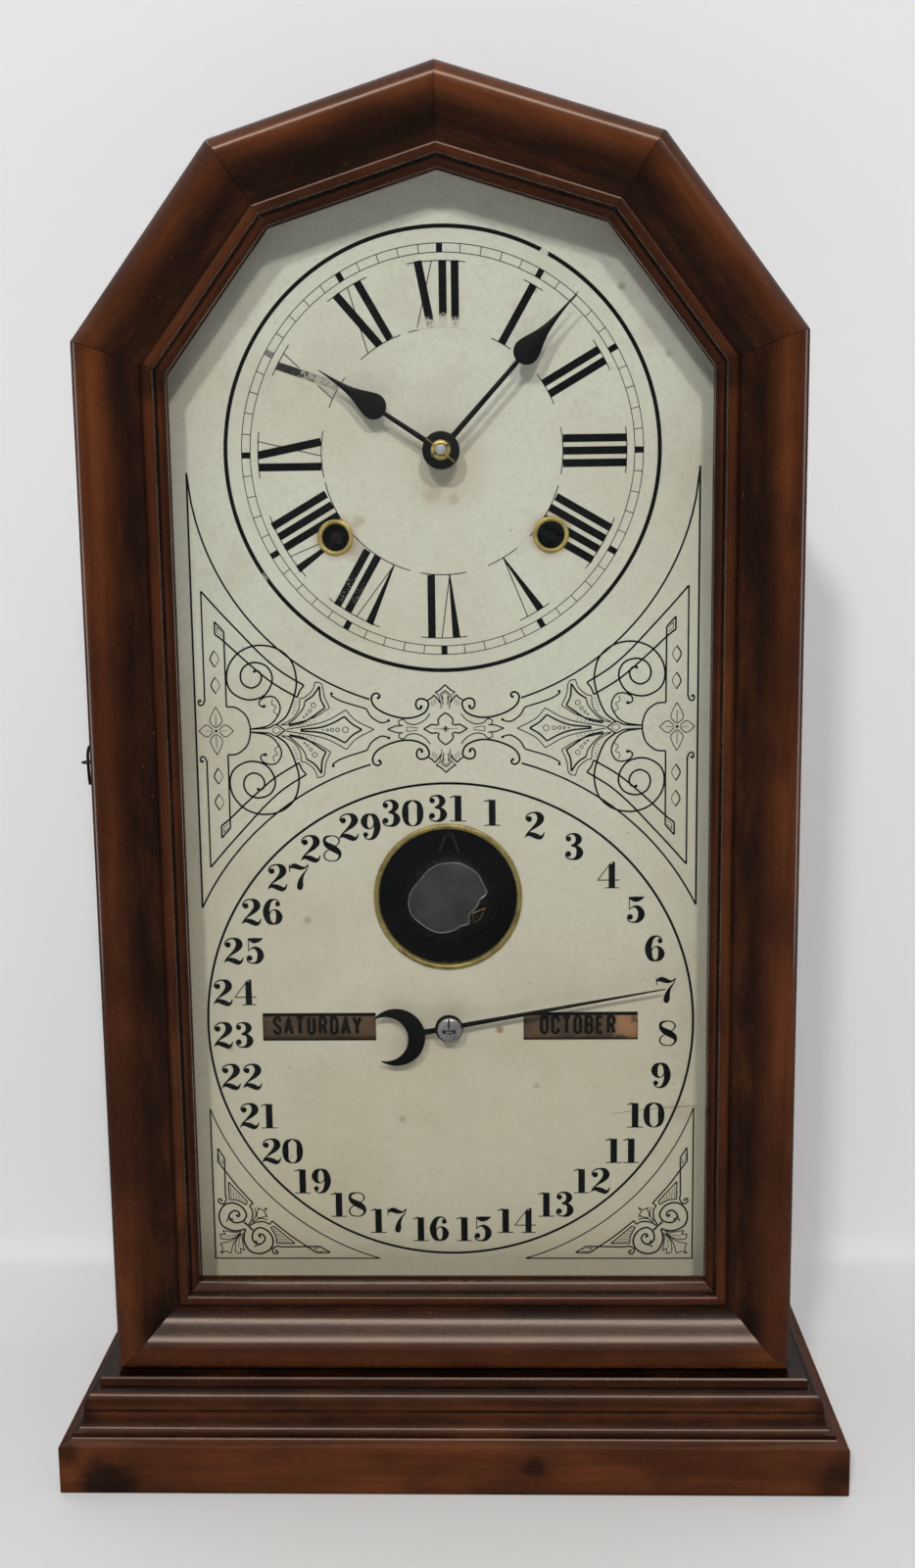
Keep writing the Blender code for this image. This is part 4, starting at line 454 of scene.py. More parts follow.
# Dark patches on the wood as (place, reach, strength)
BASE_PATCHES = (
    ((-138.0, -63.5, 3.0), 20.0, 0.85),
    ((-154.0, -63.5, 18.0), 9.0, 0.6),
    ((152.0, -63.5, 8.0), 14.0, 0.55),
    ((33.0, -63.5, 12.0), 7.0, 0.6),
    ((-150.0, -55.0, 30.0), 12.0, 0.7),
    ((150.0, -55.0, 30.0), 12.0, 0.6),
)
FRAME_PATCHES = (
    ((-118.0, -46.0, 62.0), 15.0, 0.7),
    ((118.0, -46.0, 62.0), 15.0, 0.6),
    ((-131.0, -40.0, 447.0), 12.0, 0.5),
    ((131.0, -40.0, 447.0), 12.0, 0.5),
    ((-108.0, -40.0, 436.0), 12.0, 0.6),
    ((108.0, -40.0, 436.0), 12.0, 0.6),
)
# Brown stains on the paper as ((x, z), reach, strength)
STAINS = (
    ((20.6, 176.5), 2.2, 0.80),
    ((-4.0, 394.0), 5.0, 0.30),
    ((4.5, 392.0), 3.0, 0.35),
    ((-35.0, 373.0), 6.0, 0.40),
    ((-33.0, 384.0), 3.5, 0.35),
    ((-60.0, 60.5), 1.6, 0.80),
    ((95.0, 141.0), 7.0, 0.20),
    ((30.0, 465.0), 4.0, 0.16),
    ((-25.0, 455.0), 5.0, 0.14),
)
# Where the print is rubbed, as ((x, z), reach, how much is gone)
WORN_SPOTS = (
    ((1.0, 457.0), 9.5, 0.60),
    ((6.5, 457.0), 8.0, 0.50),
    ((-4.5, 457.0), 8.0, 0.50),
    ((-30.0, 465.0), 8.0, 0.30),
    ((40.2, 484.5), 3.2, 0.62),
    ((-72.0, 362.0), 5.0, 0.40),
    ((-37.0, 357.0), 15.0, 0.31),
    ((46.0, 357.0), 10.0, 0.40),
)


def wood_look(name, axis=None, tone=1.0, coat=0.35, shade_and_grime=(), patches=()):
    """Varnished walnut, dark with age. With no axis the grain follows the piece's own grain
    coordinates in mm, and bands of painted shade with some grime lie at places along the second of them."""
    look = Look(name)
    look.drive("Coat Weight", coat)
    look.drive("Coat Roughness", 0.15)
    look.drive("Specular IOR Level", 0.18)
    look.drive("Specular Tint", (1.0, 0.70, 0.50))
    if axis:
        place = look.scaled(look.place, IN_MM, GRAIN_TURNS[axis])
    else:
        place = look.node("ShaderNodeAttribute", attribute_name="grain").outputs["Vector"]
    shades = (WALNUT_DARK, WALNUT_MIDDLE, WALNUT_LIGHT)
    dark, middle, light = (tuple(value * tone for value in shade) for shade in shades)
    figure = look.fibres(place, 0.005, 0.06, 3.0, 0.5, 0.6)
    base = look.mix(look.remap(figure, 0.35, 0.68), middle, light)
    base = look.cover(base, look.fibres(place, 0.014, 0.40, 5.0, 0.6, 0.3), 0.42, 0.72, 0.4, dark)
    mottle = look.fibres(place, 0.02, 0.035, 4.0, 0.6)
    base = look.cover(base, mottle, 0.38, 0.66, 0.65, dark)
    pores = look.remap(look.fibres(place, 0.09, 3.2, 3.0, 0.6), 0.60, 0.72)
    base = look.mix(look.math("MULTIPLY", pores, 0.5), base, WALNUT_PORE_AND_SHADE)
    ragged = look.remap(look.fibres(place, 0.03, 0.11, 4.0, 0.65), 0.3, 0.6, 0.7, 1.15)
    across = look.split(place)[1]
    # Painted shade, with some grime: bands along the mouldings darkened to the pore colour
    for centre, half, strength in shade_and_grime:
        away = look.math("ABSOLUTE", look.math("SUBTRACT", across, centre))
        share = look.math("MULTIPLY", look.remap(away, half * 0.15, half, strength, 0.0), ragged)
        base = look.mix(look.math("MINIMUM", share, 0.96), base, WALNUT_PORE_AND_SHADE)
    nicks = look.fibres(place, 0.16, 1.1, 4.0, 0.7)
    base = look.cover(base, nicks, 0.68, 0.73, 0.55, WALNUT_BARE)
    blotch = look.noise(70.0, 5.0, 0.65)
    for centre, reach, strength in patches:
        share = look.blot(centre, reach * 1.35, reach * 0.75, strength, blotch, reach)
        base = look.mix(share, base, PATCH_COLOUR)
    look.drive("Base Color", base)
    scratch = look.fibres(place, 0.5, 0.9, 4.0, 0.7)
    look.drive("Roughness", look.remap(scratch, 0.35, 0.65, 0.16, 0.30))
    relief = (look.math("MULTIPLY", mottle, 0.6), look.math("MULTIPLY", pores, 0.2))
    look.bump(look.math("SUBTRACT", *relief), 0.5, 0.0003)


def dial_point(x, z):
    return (x, DIAL_FRONT_Y, z)


def paper_look():
    """Aged paper with painted shade: paler above and darker below, and yellower towards the foot;
    mottled, with small brown spots of two sizes, and stained round the brass and the centre."""
    look = Look("dial_paper", roughness=0.62)
    height = look.split(look.place)[2]
    # Painted shade: the paper darkens downward, as if lit from above, and also yellows towards the foot
    base = look.mix(look.remap(height, 0.42, 0.06), PAPER_LIT_TOP, PAPER_SHADED_YELLOWED_FOOT)
    base = look.cover(base, look.noise(14.0, 3.0, 0.5), 0.42, 0.75, 0.30, PAPER_CLOUD)
    base = look.cover(base, look.noise(520.0, 4.0, 0.7), 0.42, 0.75, 0.26, (0.33, 0.31, 0.23))
    base = look.cover(base, look.noise(34.0, 5.0, 0.65), 0.5, 0.72, 0.22, (0.36, 0.32, 0.22))
    for scale, radius, strength, kept in ((55.0, 0.13, 0.55, 0.80), (150.0, 0.12, 0.45, 0.86)):
        cells = look.node("ShaderNodeTexVoronoi", {"Vector": look.place, "Scale": scale}).outputs
        spot = look.remap(cells["Distance"], radius, 0.02, 0.0, strength)
        chosen = look.math("GREATER_THAN", look.split(cells["Color"])[0], kept)
        base = look.mix(look.math("MULTIPLY", spot, chosen), base, FOXING)
    for spot in WINDING_CENTRES.values():
        share = look.blot(dial_point(*spot), 12.5, 8.5, 0.5, look.noise(260.0), 4.0)
        base = look.mix(share, base, BRASS_STAIN)
    for spot, reach, strength in STAINS:
        edge = look.noise(420.0, 5.0, 0.7)
        share = look.blot(dial_point(*spot), reach * 1.5, reach * 0.8, strength, edge, reach)
        base = look.mix(share, base, BROWN_STAIN)
    centre = dial_point(2.0, TIME_CENTRE[1] - 6.0)
    look.drive("Base Color", look.mix(look.blot(centre, 22.0, 6.0, 0.35), base, CENTRE_STAIN))
    look.drive("Roughness", look.remap(look.noise(90.0), 0.3, 0.7, 0.55, 0.7))
    look.bump(look.noise(900.0, 3.0), 0.25, 0.00006)


def ink_look():
    """Black print that is flecked all over and rubbed through in places."""
    look = Look("dial_ink", roughness=0.55)
    flecks = look.noise(1300.0, 5.0, 0.8)
    worn = look.remap(flecks, 0.70, 0.76, 0.0, 0.8)
    for spot, reach, strength in WORN_SPOTS:
        near = look.blot(dial_point(*spot), reach, reach * 0.25, strength)
        worn = look.math("MAXIMUM", worn, look.remap(look.math("ADD", flecks, near), 0.86, 0.98))
    look.drive("Specular IOR Level", 0.06)
    shade = look.mix(look.noise(240.0), (0.002, 0.002, 0.003), (0.006, 0.006, 0.007))
    look.drive("Base Color", look.mix(worn, shade, PAPER_RUBBED))


def worn_ink_look():
    """Print that is nearly gone: black only in patches, more of them towards the numeral's head."""
    look = Look("worn_ink", roughness=0.6)
    head = look.distance(dial_point(*polar(TIME_CENTRE, 299, 70)))
    patches = look.math("ADD", look.noise(1100.0, 5.0, 0.75), look.remap(head, 0.004, 0.012, 0.12, -0.06))
    dark = look.remap(patches, 0.47, 0.53)
    look.drive("Base Color", look.mix(dark, (0.36, 0.34, 0.28), (0.014, 0.014, 0.015)))


def faded_ink_look():
    look = Look("faded_ink", roughness=0.6)
    speck = look.remap(look.noise(1600.0, 4.0, 0.7), 0.4, 0.6)
    look.drive("Base Color", look.mix(speck, (0.10, 0.10, 0.085), (0.26, 0.26, 0.22)))


def roller_ink_look():
    look = Look("roller_ink", roughness=0.6)
    look.drive("Specular IOR Level", 0.05)
    shade = look.mix(look.noise(500.0, 3.0), (0.003, 0.003, 0.003), (0.012, 0.009, 0.007))
    look.drive("Base Color", shade)


def pine_look():
    """Old planed softwood, with painted shade: near black on the faces inside the case."""
    look = Look("old_pine", roughness=0.75)
    place = look.scaled(look.place, IN_MM, GRAIN_TURNS["z"])
    rings = look.fibres(place, 0.006, 0.16, 4.0, 0.55, 0.8)
    base = look.mix(look.remap(rings, 0.38, 0.62), (0.21, 0.118, 0.052), (0.105, 0.052, 0.022))
    fibre = look.fibres(place, 0.05, 1.6, 3.0, 0.6)
    base = look.cover(base, fibre, 0.45, 0.75, 0.4, (0.07, 0.035, 0.016))
    # Painted shade: the faces turned to the front, which lie inside the case, are made near black
    normal = look.split(look.node("ShaderNodeNewGeometry").outputs["Normal"])
    inside = look.math("LESS_THAN", normal[1], -0.5)
    look.drive("Base Color", look.mix(inside, base, (0.0035, 0.003, 0.0028)))
    look.bump(fibre, 0.4, 0.0002)


def glass_look():
    look = Look("door_glass_pane", roughness=0.03)
    look.drive("IOR", 1.45)
    look.drive("Alpha", look.remap(look.noise(9.0, 3.0), 0.3, 0.75, 0.003, 0.009))
    look.drive("Base Color", (0.55, 0.6, 0.58))


def roller_look():
    """A drum covered in copper-brown printed paper, darkened and scuffed."""
    look = Look("roller_paper", roughness=0.5)
    cloud = look.noise(60.0, 3.0)
    base = look.mix(look.remap(cloud, 0.35, 0.7), (0.105, 0.064, 0.032), (0.052, 0.031, 0.016))
    streak = look.fibres(look.place, 90, 500, 4.0, 0.6)
    base = look.cover(base, streak, 0.5, 0.75, 0.5, (0.17, 0.115, 0.065))
    right_end = look.remap(look.split(look.place)[0], 0.066, 0.071)
    patch = look.remap(look.noise(110.0, 4.0, 0.7), 0.40, 0.50)
    base = look.mix(look.math("MULTIPLY", right_end, patch), base, (0.30, 0.16, 0.075))
    look.drive("Base Color", base)
    look.drive("Roughness", look.remap(cloud, 0.3, 0.7, 0.35, 0.6))
    look.bump(streak, 0.2, 0.0001)


def bob_look():
    """Black, worn smooth, with a faint sheen."""
    look = Look("black_bob")
    cloud = look.noise(120.0, 4.0, 0.6)
    look.drive("Base Color", look.mix(cloud, (0.002, 0.002, 0.002), (0.006, 0.005, 0.004)))
    look.drive("Roughness", look.remap(cloud, 0.3, 0.7, 0.14, 0.35))


def foil_look():
    """Dull silver foil, cloudy and a little crumpled."""
    look = Look("bob_foil", metallic=0.55)
    cloud = look.noise(90.0, 4.0, 0.6)
    shade = look.mix(look.remap(cloud, 0.3, 0.75), (0.115, 0.12, 0.112), (0.055, 0.058, 0.052))
    look.drive("Base Color", shade)
    look.drive("Roughness", look.remap(cloud, 0.3, 0.7, 0.28, 0.5))
    look.bump(look.noise(220.0, 3.0), 0.35, 0.0003)


# Light and dark colour, lowest and highest roughness, metallic share and, for one, grime
METALS = {
    "blued_steel": ((0.004, 0.004, 0.005), (0.008, 0.008, 0.010), (0.3, 0.42), 0.5),
    "old_steel": ((0.42, 0.42, 0.41), (0.20, 0.19, 0.18), (0.28, 0.5), 1.0),
    "bright_steel": ((0.46, 0.46, 0.45), (0.26, 0.26, 0.25), (0.18, 0.32), 0.6),
    "pale_steel": ((0.60, 0.62, 0.66), (0.42, 0.43, 0.46), (0.42, 0.5), 0.4),
    "aged_brass": ((0.74, 0.61, 0.20), (0.42, 0.33, 0.10), (0.28, 0.42), 0.5, (0.10, 0.075, 0.03)),
    "bezel_brass": ((0.50, 0.40, 0.14), (0.25, 0.19, 0.06), (0.26, 0.4), 0.6),
    # Painted shade: brass darkened to near black for the plate deep behind the grommets
    "painted_shade_brass": ((0.030, 0.022, 0.012), (0.012, 0.010, 0.007), (0.6, 0.8), 0.3),
    "dull_brass": ((0.20, 0.145, 0.06), (0.10, 0.07, 0.03), (0.45, 0.65), 1.0),
    "copper_wire": ((0.55, 0.33, 0.16), (0.34, 0.20, 0.09), (0.3, 0.45), 0.7),
    "black_iron": ((0.020, 0.020, 0.021), (0.035, 0.031, 0.028), (0.5, 0.7), 0.5),
    "dial_crack": ((0.16, 0.075, 0.035), (0.30, 0.20, 0.11), (0.6, 0.8), 0.0),
}


def metal_look(name, light, dark, roughness, metallic, grime=None):
    look = Look(name, metallic=metallic)
    patch = look.noise(160.0, 4.0, 0.6)
    base = look.mix(look.remap(patch, 0.35, 0.68), light, dark)
    if grime:
        base = look.cover(base, look.noise(640.0, 3.0, 0.6), 0.56, 0.74, 0.7, grime)
    look.drive("Base Color", base)
    look.drive("Roughness", look.remap(patch, 0.3, 0.7, *roughness))
    look.bump(look.noise(1440.0, 2.0), 0.15, 0.00003)


def make_looks():
    wood_look("frame_walnut", None, 1.5, 0.8, FRAME_SHADE_AND_GRIME, FRAME_PATCHES)
    wood_look("base_walnut", None, 1.85, 0.8, BASE_SHADE_AND_GRIME, BASE_PATCHES)
    wood_look("board_walnut_z", "z")
    wood_look("board_walnut_x", "x")
    pine_look()
    glass_look()
    paper_look()
    ink_look()
    worn_ink_look()
    faded_ink_look()
    roller_look()
    roller_ink_look()
    bob_look()
    foil_look()
    for name, values in METALS.items():
        metal_look(name, *values)


# The looks of the part's own nodes, by slot and for single nodes
SLOT_LOOKS = {
    "walnut": "board_walnut_z",
    "pine": "old_pine",
    "glass": "door_glass_pane",
    "dial_paper": "dial_paper",
    "blued_steel": "blued_steel",
    "steel": "old_steel",
    "brass": "dull_brass",
    "cast_iron": "black_iron",
    "roller_paper": "roller_paper",
}
NODE_LOOKS = {
    "roof_left": "board_walnut_x",
    "roof_right": "board_walnut_x",
    "pendulum_rod": "black_iron",
    # Painted shade: the winding arbors and the front plate, deep in the movement behind the grommets, get
    # near-black looks
    "time_winding_arbor": "black_iron",
    "strike_winding_arbor": "black_iron",
    "front_plate": "painted_shade_brass",
}


def dress_cad_nodes():
    for row in frame["record"]["subparts"]:
        look = NODE_LOOKS.get(row["node"], SLOT_LOOKS[row["material_slot"]])
        materials = frame["nodes"][row["node"]].data.materials
        materials.clear()
        materials.append(looks[look])


def moulding_rings(ends, stations, place):
    """Sections along a moulding: ends has (first, last, level) for each point of its profile."""
    shares = [i / (stations - 1) for i in range(stations)]
    return [[place(first.lerp(last, share), level) for first, last, level in ends] for share in shares]


# Door frame
DOOR_CORNERS = [
    (-DOOR_HALF_WIDTH, DOOR_BOTTOM_Z),
    (-DOOR_HALF_WIDTH, DOOR_SHOULDER_Z),
    (-DOOR_UPPER_HALF_WIDTH, DOOR_UPPER_Z),
    (0.0, DOOR_TOP_Z),
    (DOOR_UPPER_HALF_WIDTH, DOOR_UPPER_Z),
    (DOOR_HALF_WIDTH, DOOR_SHOULDER_Z),
    (DOOR_HALF_WIDTH, DOOR_BOTTOM_Z),
]
DOOR_MEMBERS = (
    "door_left_stile",
    "door_lower_left_arch",
    "door_upper_left_arch",
    "door_upper_right_arch",
    "door_lower_right_arch",
    "door_right_stile",
    "door_bottom_rail",
)
DOOR_STATIONS = 9
BASE_STATIONS = 7


def inset_corner(index, inset):
    """A corner of the door's outline, moved inward."""
    before, here, after = (Vector(DOOR_CORNERS[(index + k) % 7]) for k in (-1, 0, 1))
    first, second = (here - before).normalized(), (after - here).normalized()
    inward = Vector((first.y, -first.x)) + Vector((second.y, -second.x))
    return here + inward / (1 + first.dot(second)) * inset


def door_profile():
    """The frame moulding as (inset, depth): a bold roll, a hollow, a bead and the glass rebate."""
    ridge, valley, bead, rebate = (7.75, 19.0), (24.0, 8.5), 2.5, FRAME_WIDTH - 3.5
    points = [(0.5, 0), (0, 0.5)]
    points += quarter_curve((0, 13.0), ridge, 14)
    middle, swing, steps = (ridge[1] + valley[1]) / 2, (ridge[1] - valley[1]) / 2, 26
    for i in range(1, steps + 1):
        share = i / steps
        inset = ridge[0] + (valley[0] - ridge[0]) * share
        points.append((inset, middle + swing * math.cos(math.pi * share)))
    points += arc((rebate - bead, 9.0), bead, 180, 0, 14)[1:]
    points += [(rebate, 7.5), (FRAME_WIDTH - 0.4, 5.75), (FRAME_WIDTH, 5.3)]
    return points + [(FRAME_WIDTH, 4.0), (rebate, 4.0), (rebate, 0)]


def build_door_frame():
    profile = door_profile()
    hinge_beds = []
    for height in HINGE_HEIGHTS:
        low = (DOOR_HALF_WIDTH - HINGE_BED_INSET, DOOR_BACK_Y - HINGE_BED_DEPTH, height - HINGE_HALF_LENGTH)
        hinge_beds.append(block(low, (DOOR_HALF_WIDTH + 1, DOOR_BACK_Y + 1, height + HINGE_HALF_LENGTH)))
    for index, name in enumerate(DOOR_MEMBERS):
        start, end = Vector(DOOR_CORNERS[index]), Vector(DOOR_CORNERS[(index + 1) % 7])
        way = (end - start).normalized()
        ends = []
        for inset, depth in profile:
            first = inset_corner(index, inset) + way * MITRE_GAP
            last = inset_corner((index + 1) % 7, inset) - way * MITRE_GAP
            ends.append((first, last, DOOR_BACK_Y - depth))
        member = loft(moulding_rings(ends, DOOR_STATIONS, lambda spot, level: (spot.x, level, spot.y)))
        # The member's own origin keeps its grain unlike its neighbours'
        origin = Vector((start.x, DOOR_BACK_Y + 300.0 * index, start.y))
        axes = (Vector((way.x, 0, way.y)), Vector((way.y, 0, -way.x)), Vector((0, -1, 0)))
        cuts = hinge_beds if name == "door_right_stile" else ()
        fine_piece(name, member, "frame_walnut", "door", "walnut", cuts=cuts, grain=(origin, axes))


# Base
def base_profile():
    """The base moulding as (inset, height): plinth, fillet, cove, ovolo and ledge."""
    points = [(0.5, 0), (0, 0.5), (0, 19.4), (0.25, 20.0), (1.2, 20.6), (4.2, 21.0), (4.5, 21.3), (4.5, 23.2)]
    points += quarter_curve((5.0, 23.2), (8.6, 30.0), 12, True)
    points += quarter_curve((8.6, 31.0), (13.3, 37.5), 12)
    points += [(14.0, 37.5), (14.0, BASE_HEIGHT - 0.6), (14.6, BASE_HEIGHT)]
    return points + [(BASE_FRAME_WIDTH, BASE_HEIGHT), (BASE_FRAME_WIDTH, 0)]


def build_base():
    across, deep = BASE_HALF_WIDTH, BASE_HALF_DEPTH
    corners = ((-across, deep), (-across, -deep), (across, -deep), (across, deep))
    for index, name in enumerate(("base_left_moulding", "base_front_moulding", "base_right_moulding")):
        start, end = Vector(corners[index]), Vector(corners[index + 1])
        start_mitred, end_mitred = index > 0, index < 2
        way = (end - start).normalized()
        inward = Vector((-way.y, way.x))
        ends = []
        for inset, height in base_profile():
            first = start + inward * inset + way * (inset + MITRE_GAP) * start_mitred
            last = end + inward * inset - way * (inset + MITRE_GAP) * end_mitred
            ends.append((first, last, height))
        moulding = loft(moulding_rings(ends, BASE_STATIONS, lambda spot, level: (spot.x, spot.y, level)))
        axes = (Vector((way.x, way.y, 0)), Vector((0, 0, 1)), Vector((-inward.x, -inward.y, 0)))
        # Shifted across its length, so that no two sides have the same grain
        away = inward * (500.0 if start_mitred else -900.0)
        origin = Vector((start.x + away.x, start.y + away.y, 0.0))
        fine_piece(name, moulding, "base_walnut", "case", "walnut", grain=(origin, axes))


# Flat print on the dial, as thin slabs that stand a hair above the paper
class Print:
    """Collects flat closed slabs at the dial's face. Of eight strokes each stands a little higher
    than the last, so that crossing strokes don't share a face."""

    def __init__(self, name, place=None):
        self.name = name
        self.shape = bmesh.new()
        self.count = 0
        self.place = place or (lambda x, z, rise: (x, DIAL_FRONT_Y - rise, z))

    def slab(self, left, right, closed=False):
        """A ribbon between two rows of (x, z) points."""
        rise = PRINT_HEIGHT + PRINT_STEP * (self.count % 8)
        self.count += 1
        rows = []
        for a, b in zip(left, right):
            section = ((a, rise), (b, rise), (b, -PRINT_SINK), (a, -PRINT_SINK))
            rows.append([self.place(*spot, level) for spot, level in section])
        loft(rows, closed, self.shape)

    def stroke(self, points, widths):
        """A line along (x, z) points; widths is one full width or one for each point."""
        points = [Vector(point) for point in points]
        left, right = [], []
        for point, along, width in zip(points, directions(points), one_for_each(widths, points)):
            across = Vector((-along.y, along.x)) * width / 2
            left.append(point + across)
            right.append(point - across)
        self.slab(left, right)

    def ring(self, centre, radius, width, count):
        angles = [360 * i / count for i in range(count)]
        edges = [[polar(centre, angle, radius + side * width / 2) for angle in angles] for side in (-1, 1)]
        self.slab(*edges, True)

    def disc(self, centre, radius):
        """A filled dot, as a ribbon across its width."""
        left, right, steps = [], [], 20
        for i in range(steps + 1):
            turn = math.pi * i / steps
            x = -radius * math.cos(turn)
            z = max(radius * math.sin(turn), radius * 0.02)
            left.append(Vector((centre[0] + x, centre[1] + z)))
            right.append(Vector((centre[0] + x, centre[1] - z)))
        self.slab(left, right)

    def finish(self, look="dial_ink", body="case", slot="dial_paper"):
        new_piece(self.name, self.shape, look, body, slot, sharp=20)


TIME_RING_RADIUS = 85.0
TIME_RING_WIDTH = 1.6
CALENDAR_RING_RADIUS = 100.2
CALENDAR_RING_WIDTH = 1.0
MINUTE_RING_RADII = (75.3, 78.7)
MINUTE_LINE = 0.32
HOUR_TICK = 2.4
NUMERAL_FOOT = 47.3
NUMERAL_HEAD = 72.2
DATE_RADIUS = 90.0
DATE_HEIGHT = 10.9
HAIRLINE = 0.38
BAR = 3.05
SERIF_REACH = 1.9
ROMAN_HOURS = ("XII", "I", "II", "III", "IIII", "V", "VI", "VII", "VIII", "IX", "X", "XI")
LETTER_WIDTHS = {"I": 4.75, "V": 9.8, "X": 9.4}
TOP_NUMERAL_SHIFT = -1.2
THICK_LEAN = 2.45  # how far the ends of the X's strokes lie from its middle
THIN_LEAN = 2.95
WORN_HOUR = 10
WORN_EDGE = 0.14
WORN_LIFT = 0.02


def build_rings():
    """Both dials' outer rings and the ring of minutes, with the worn hour's tick by itself."""
    rings, faded = Print("printed_rings"), Print("faded_tick")
    rings.ring(TIME_CENTRE, TIME_RING_RADIUS, TIME_RING_WIDTH, 240)
    rings.ring(CALENDAR_CENTRE, CALENDAR_RING_RADIUS, CALENDAR_RING_WIDTH, 240)
    for radius in MINUTE_RING_RADII:
        rings.ring(TIME_CENTRE, radius, MINUTE_LINE, 240)
    for minute in range(60):
        target = faded if minute == 5 * WORN_HOUR else rings
        ends = [polar(TIME_CENTRE, minute * 6, radius) for radius in MINUTE_RING_RADII]
        target.stroke(ends, MINUTE_LINE if minute % 5 else HOUR_TICK)
    rings.finish()
    faded.finish("faded_ink")


def build_roman_numerals():
    """Numerals that stand outward from the centre, with hairline serifs along both edges. The
    worn one has a patchy thick stroke between fine edges, and its thin stroke is broken."""
    roman = Print("roman_numerals")
    worn = Print("worn_numeral", lambda x, z, rise: (x, DIAL_FRONT_Y - rise - WORN_LIFT, z))
    for hour, word in enumerate(ROMAN_HOURS):
        angle = hour * 30
        shift = 0.0 if hour else TOP_NUMERAL_SHIFT
        outward = polar((0, 0), angle, 1)
        across = Vector((outward.y, -outward.x))

        def at(x, level):
            """x across the numeral, level 0 at its foot and 1 at its head."""
            distance = NUMERAL_FOOT + (NUMERAL_HEAD - NUMERAL_FOOT) * level
            return TIME_CENTRE + outward * distance + across * (x + shift)

        total = sum(LETTER_WIDTHS[letter] for letter in word)
        cursor = -total / 2
        for letter in word:
            middle = cursor + LETTER_WIDTHS[letter] / 2
            cursor += LETTER_WIDTHS[letter]
            head, foot = middle - THICK_LEAN, middle + THICK_LEAN
            if letter == "I":
                roman.stroke([at(middle, 0), at(middle, 1)], BAR)
            elif letter == "V":
                left = [at(middle - 4.1, 1), at(middle - 0.3, 0)]
                roman.slab(left, [at(middle - 1.0, 1), at(middle + 0.3, 0)])
                roman.stroke([at(middle + 3.3, 1), at(middle + 0.1, 0.05)], HAIRLINE)
            elif hour != WORN_HOUR:
                roman.stroke([at(head, 1), at(foot, 0)], BAR + 0.1)
                roman.stroke([at(middle + THIN_LEAN, 1), at(middle - THIN_LEAN, 0)], HAIRLINE)
            else:
                worn.stroke([at(head, 1), at(foot, 0)], BAR)
                for edge in (-BAR / 2, BAR / 2):
                    roman.stroke([at(head + edge, 1), at(foot + edge, 0)], WORN_EDGE)
                for levels in ((1, 0.68), (0.30, 0)):
                    ends = [at(middle + 2 * THIN_LEAN * (level - 0.5), level) for level in levels]
                    roman.stroke(ends, HAIRLINE)
        for radius in (NUMERAL_HEAD, NUMERAL_FOOT):
            swing = math.degrees((total / 2 + SERIF_REACH) / radius)
            lean = math.degrees(shift / radius)
            angles = [angle + lean + swing * (k / 8 - 1) for k in range(17)]
            roman.stroke([polar(TIME_CENTRE, turn, radius) for turn in angles], HAIRLINE)
    roman.finish()
    worn.finish("worn_ink")


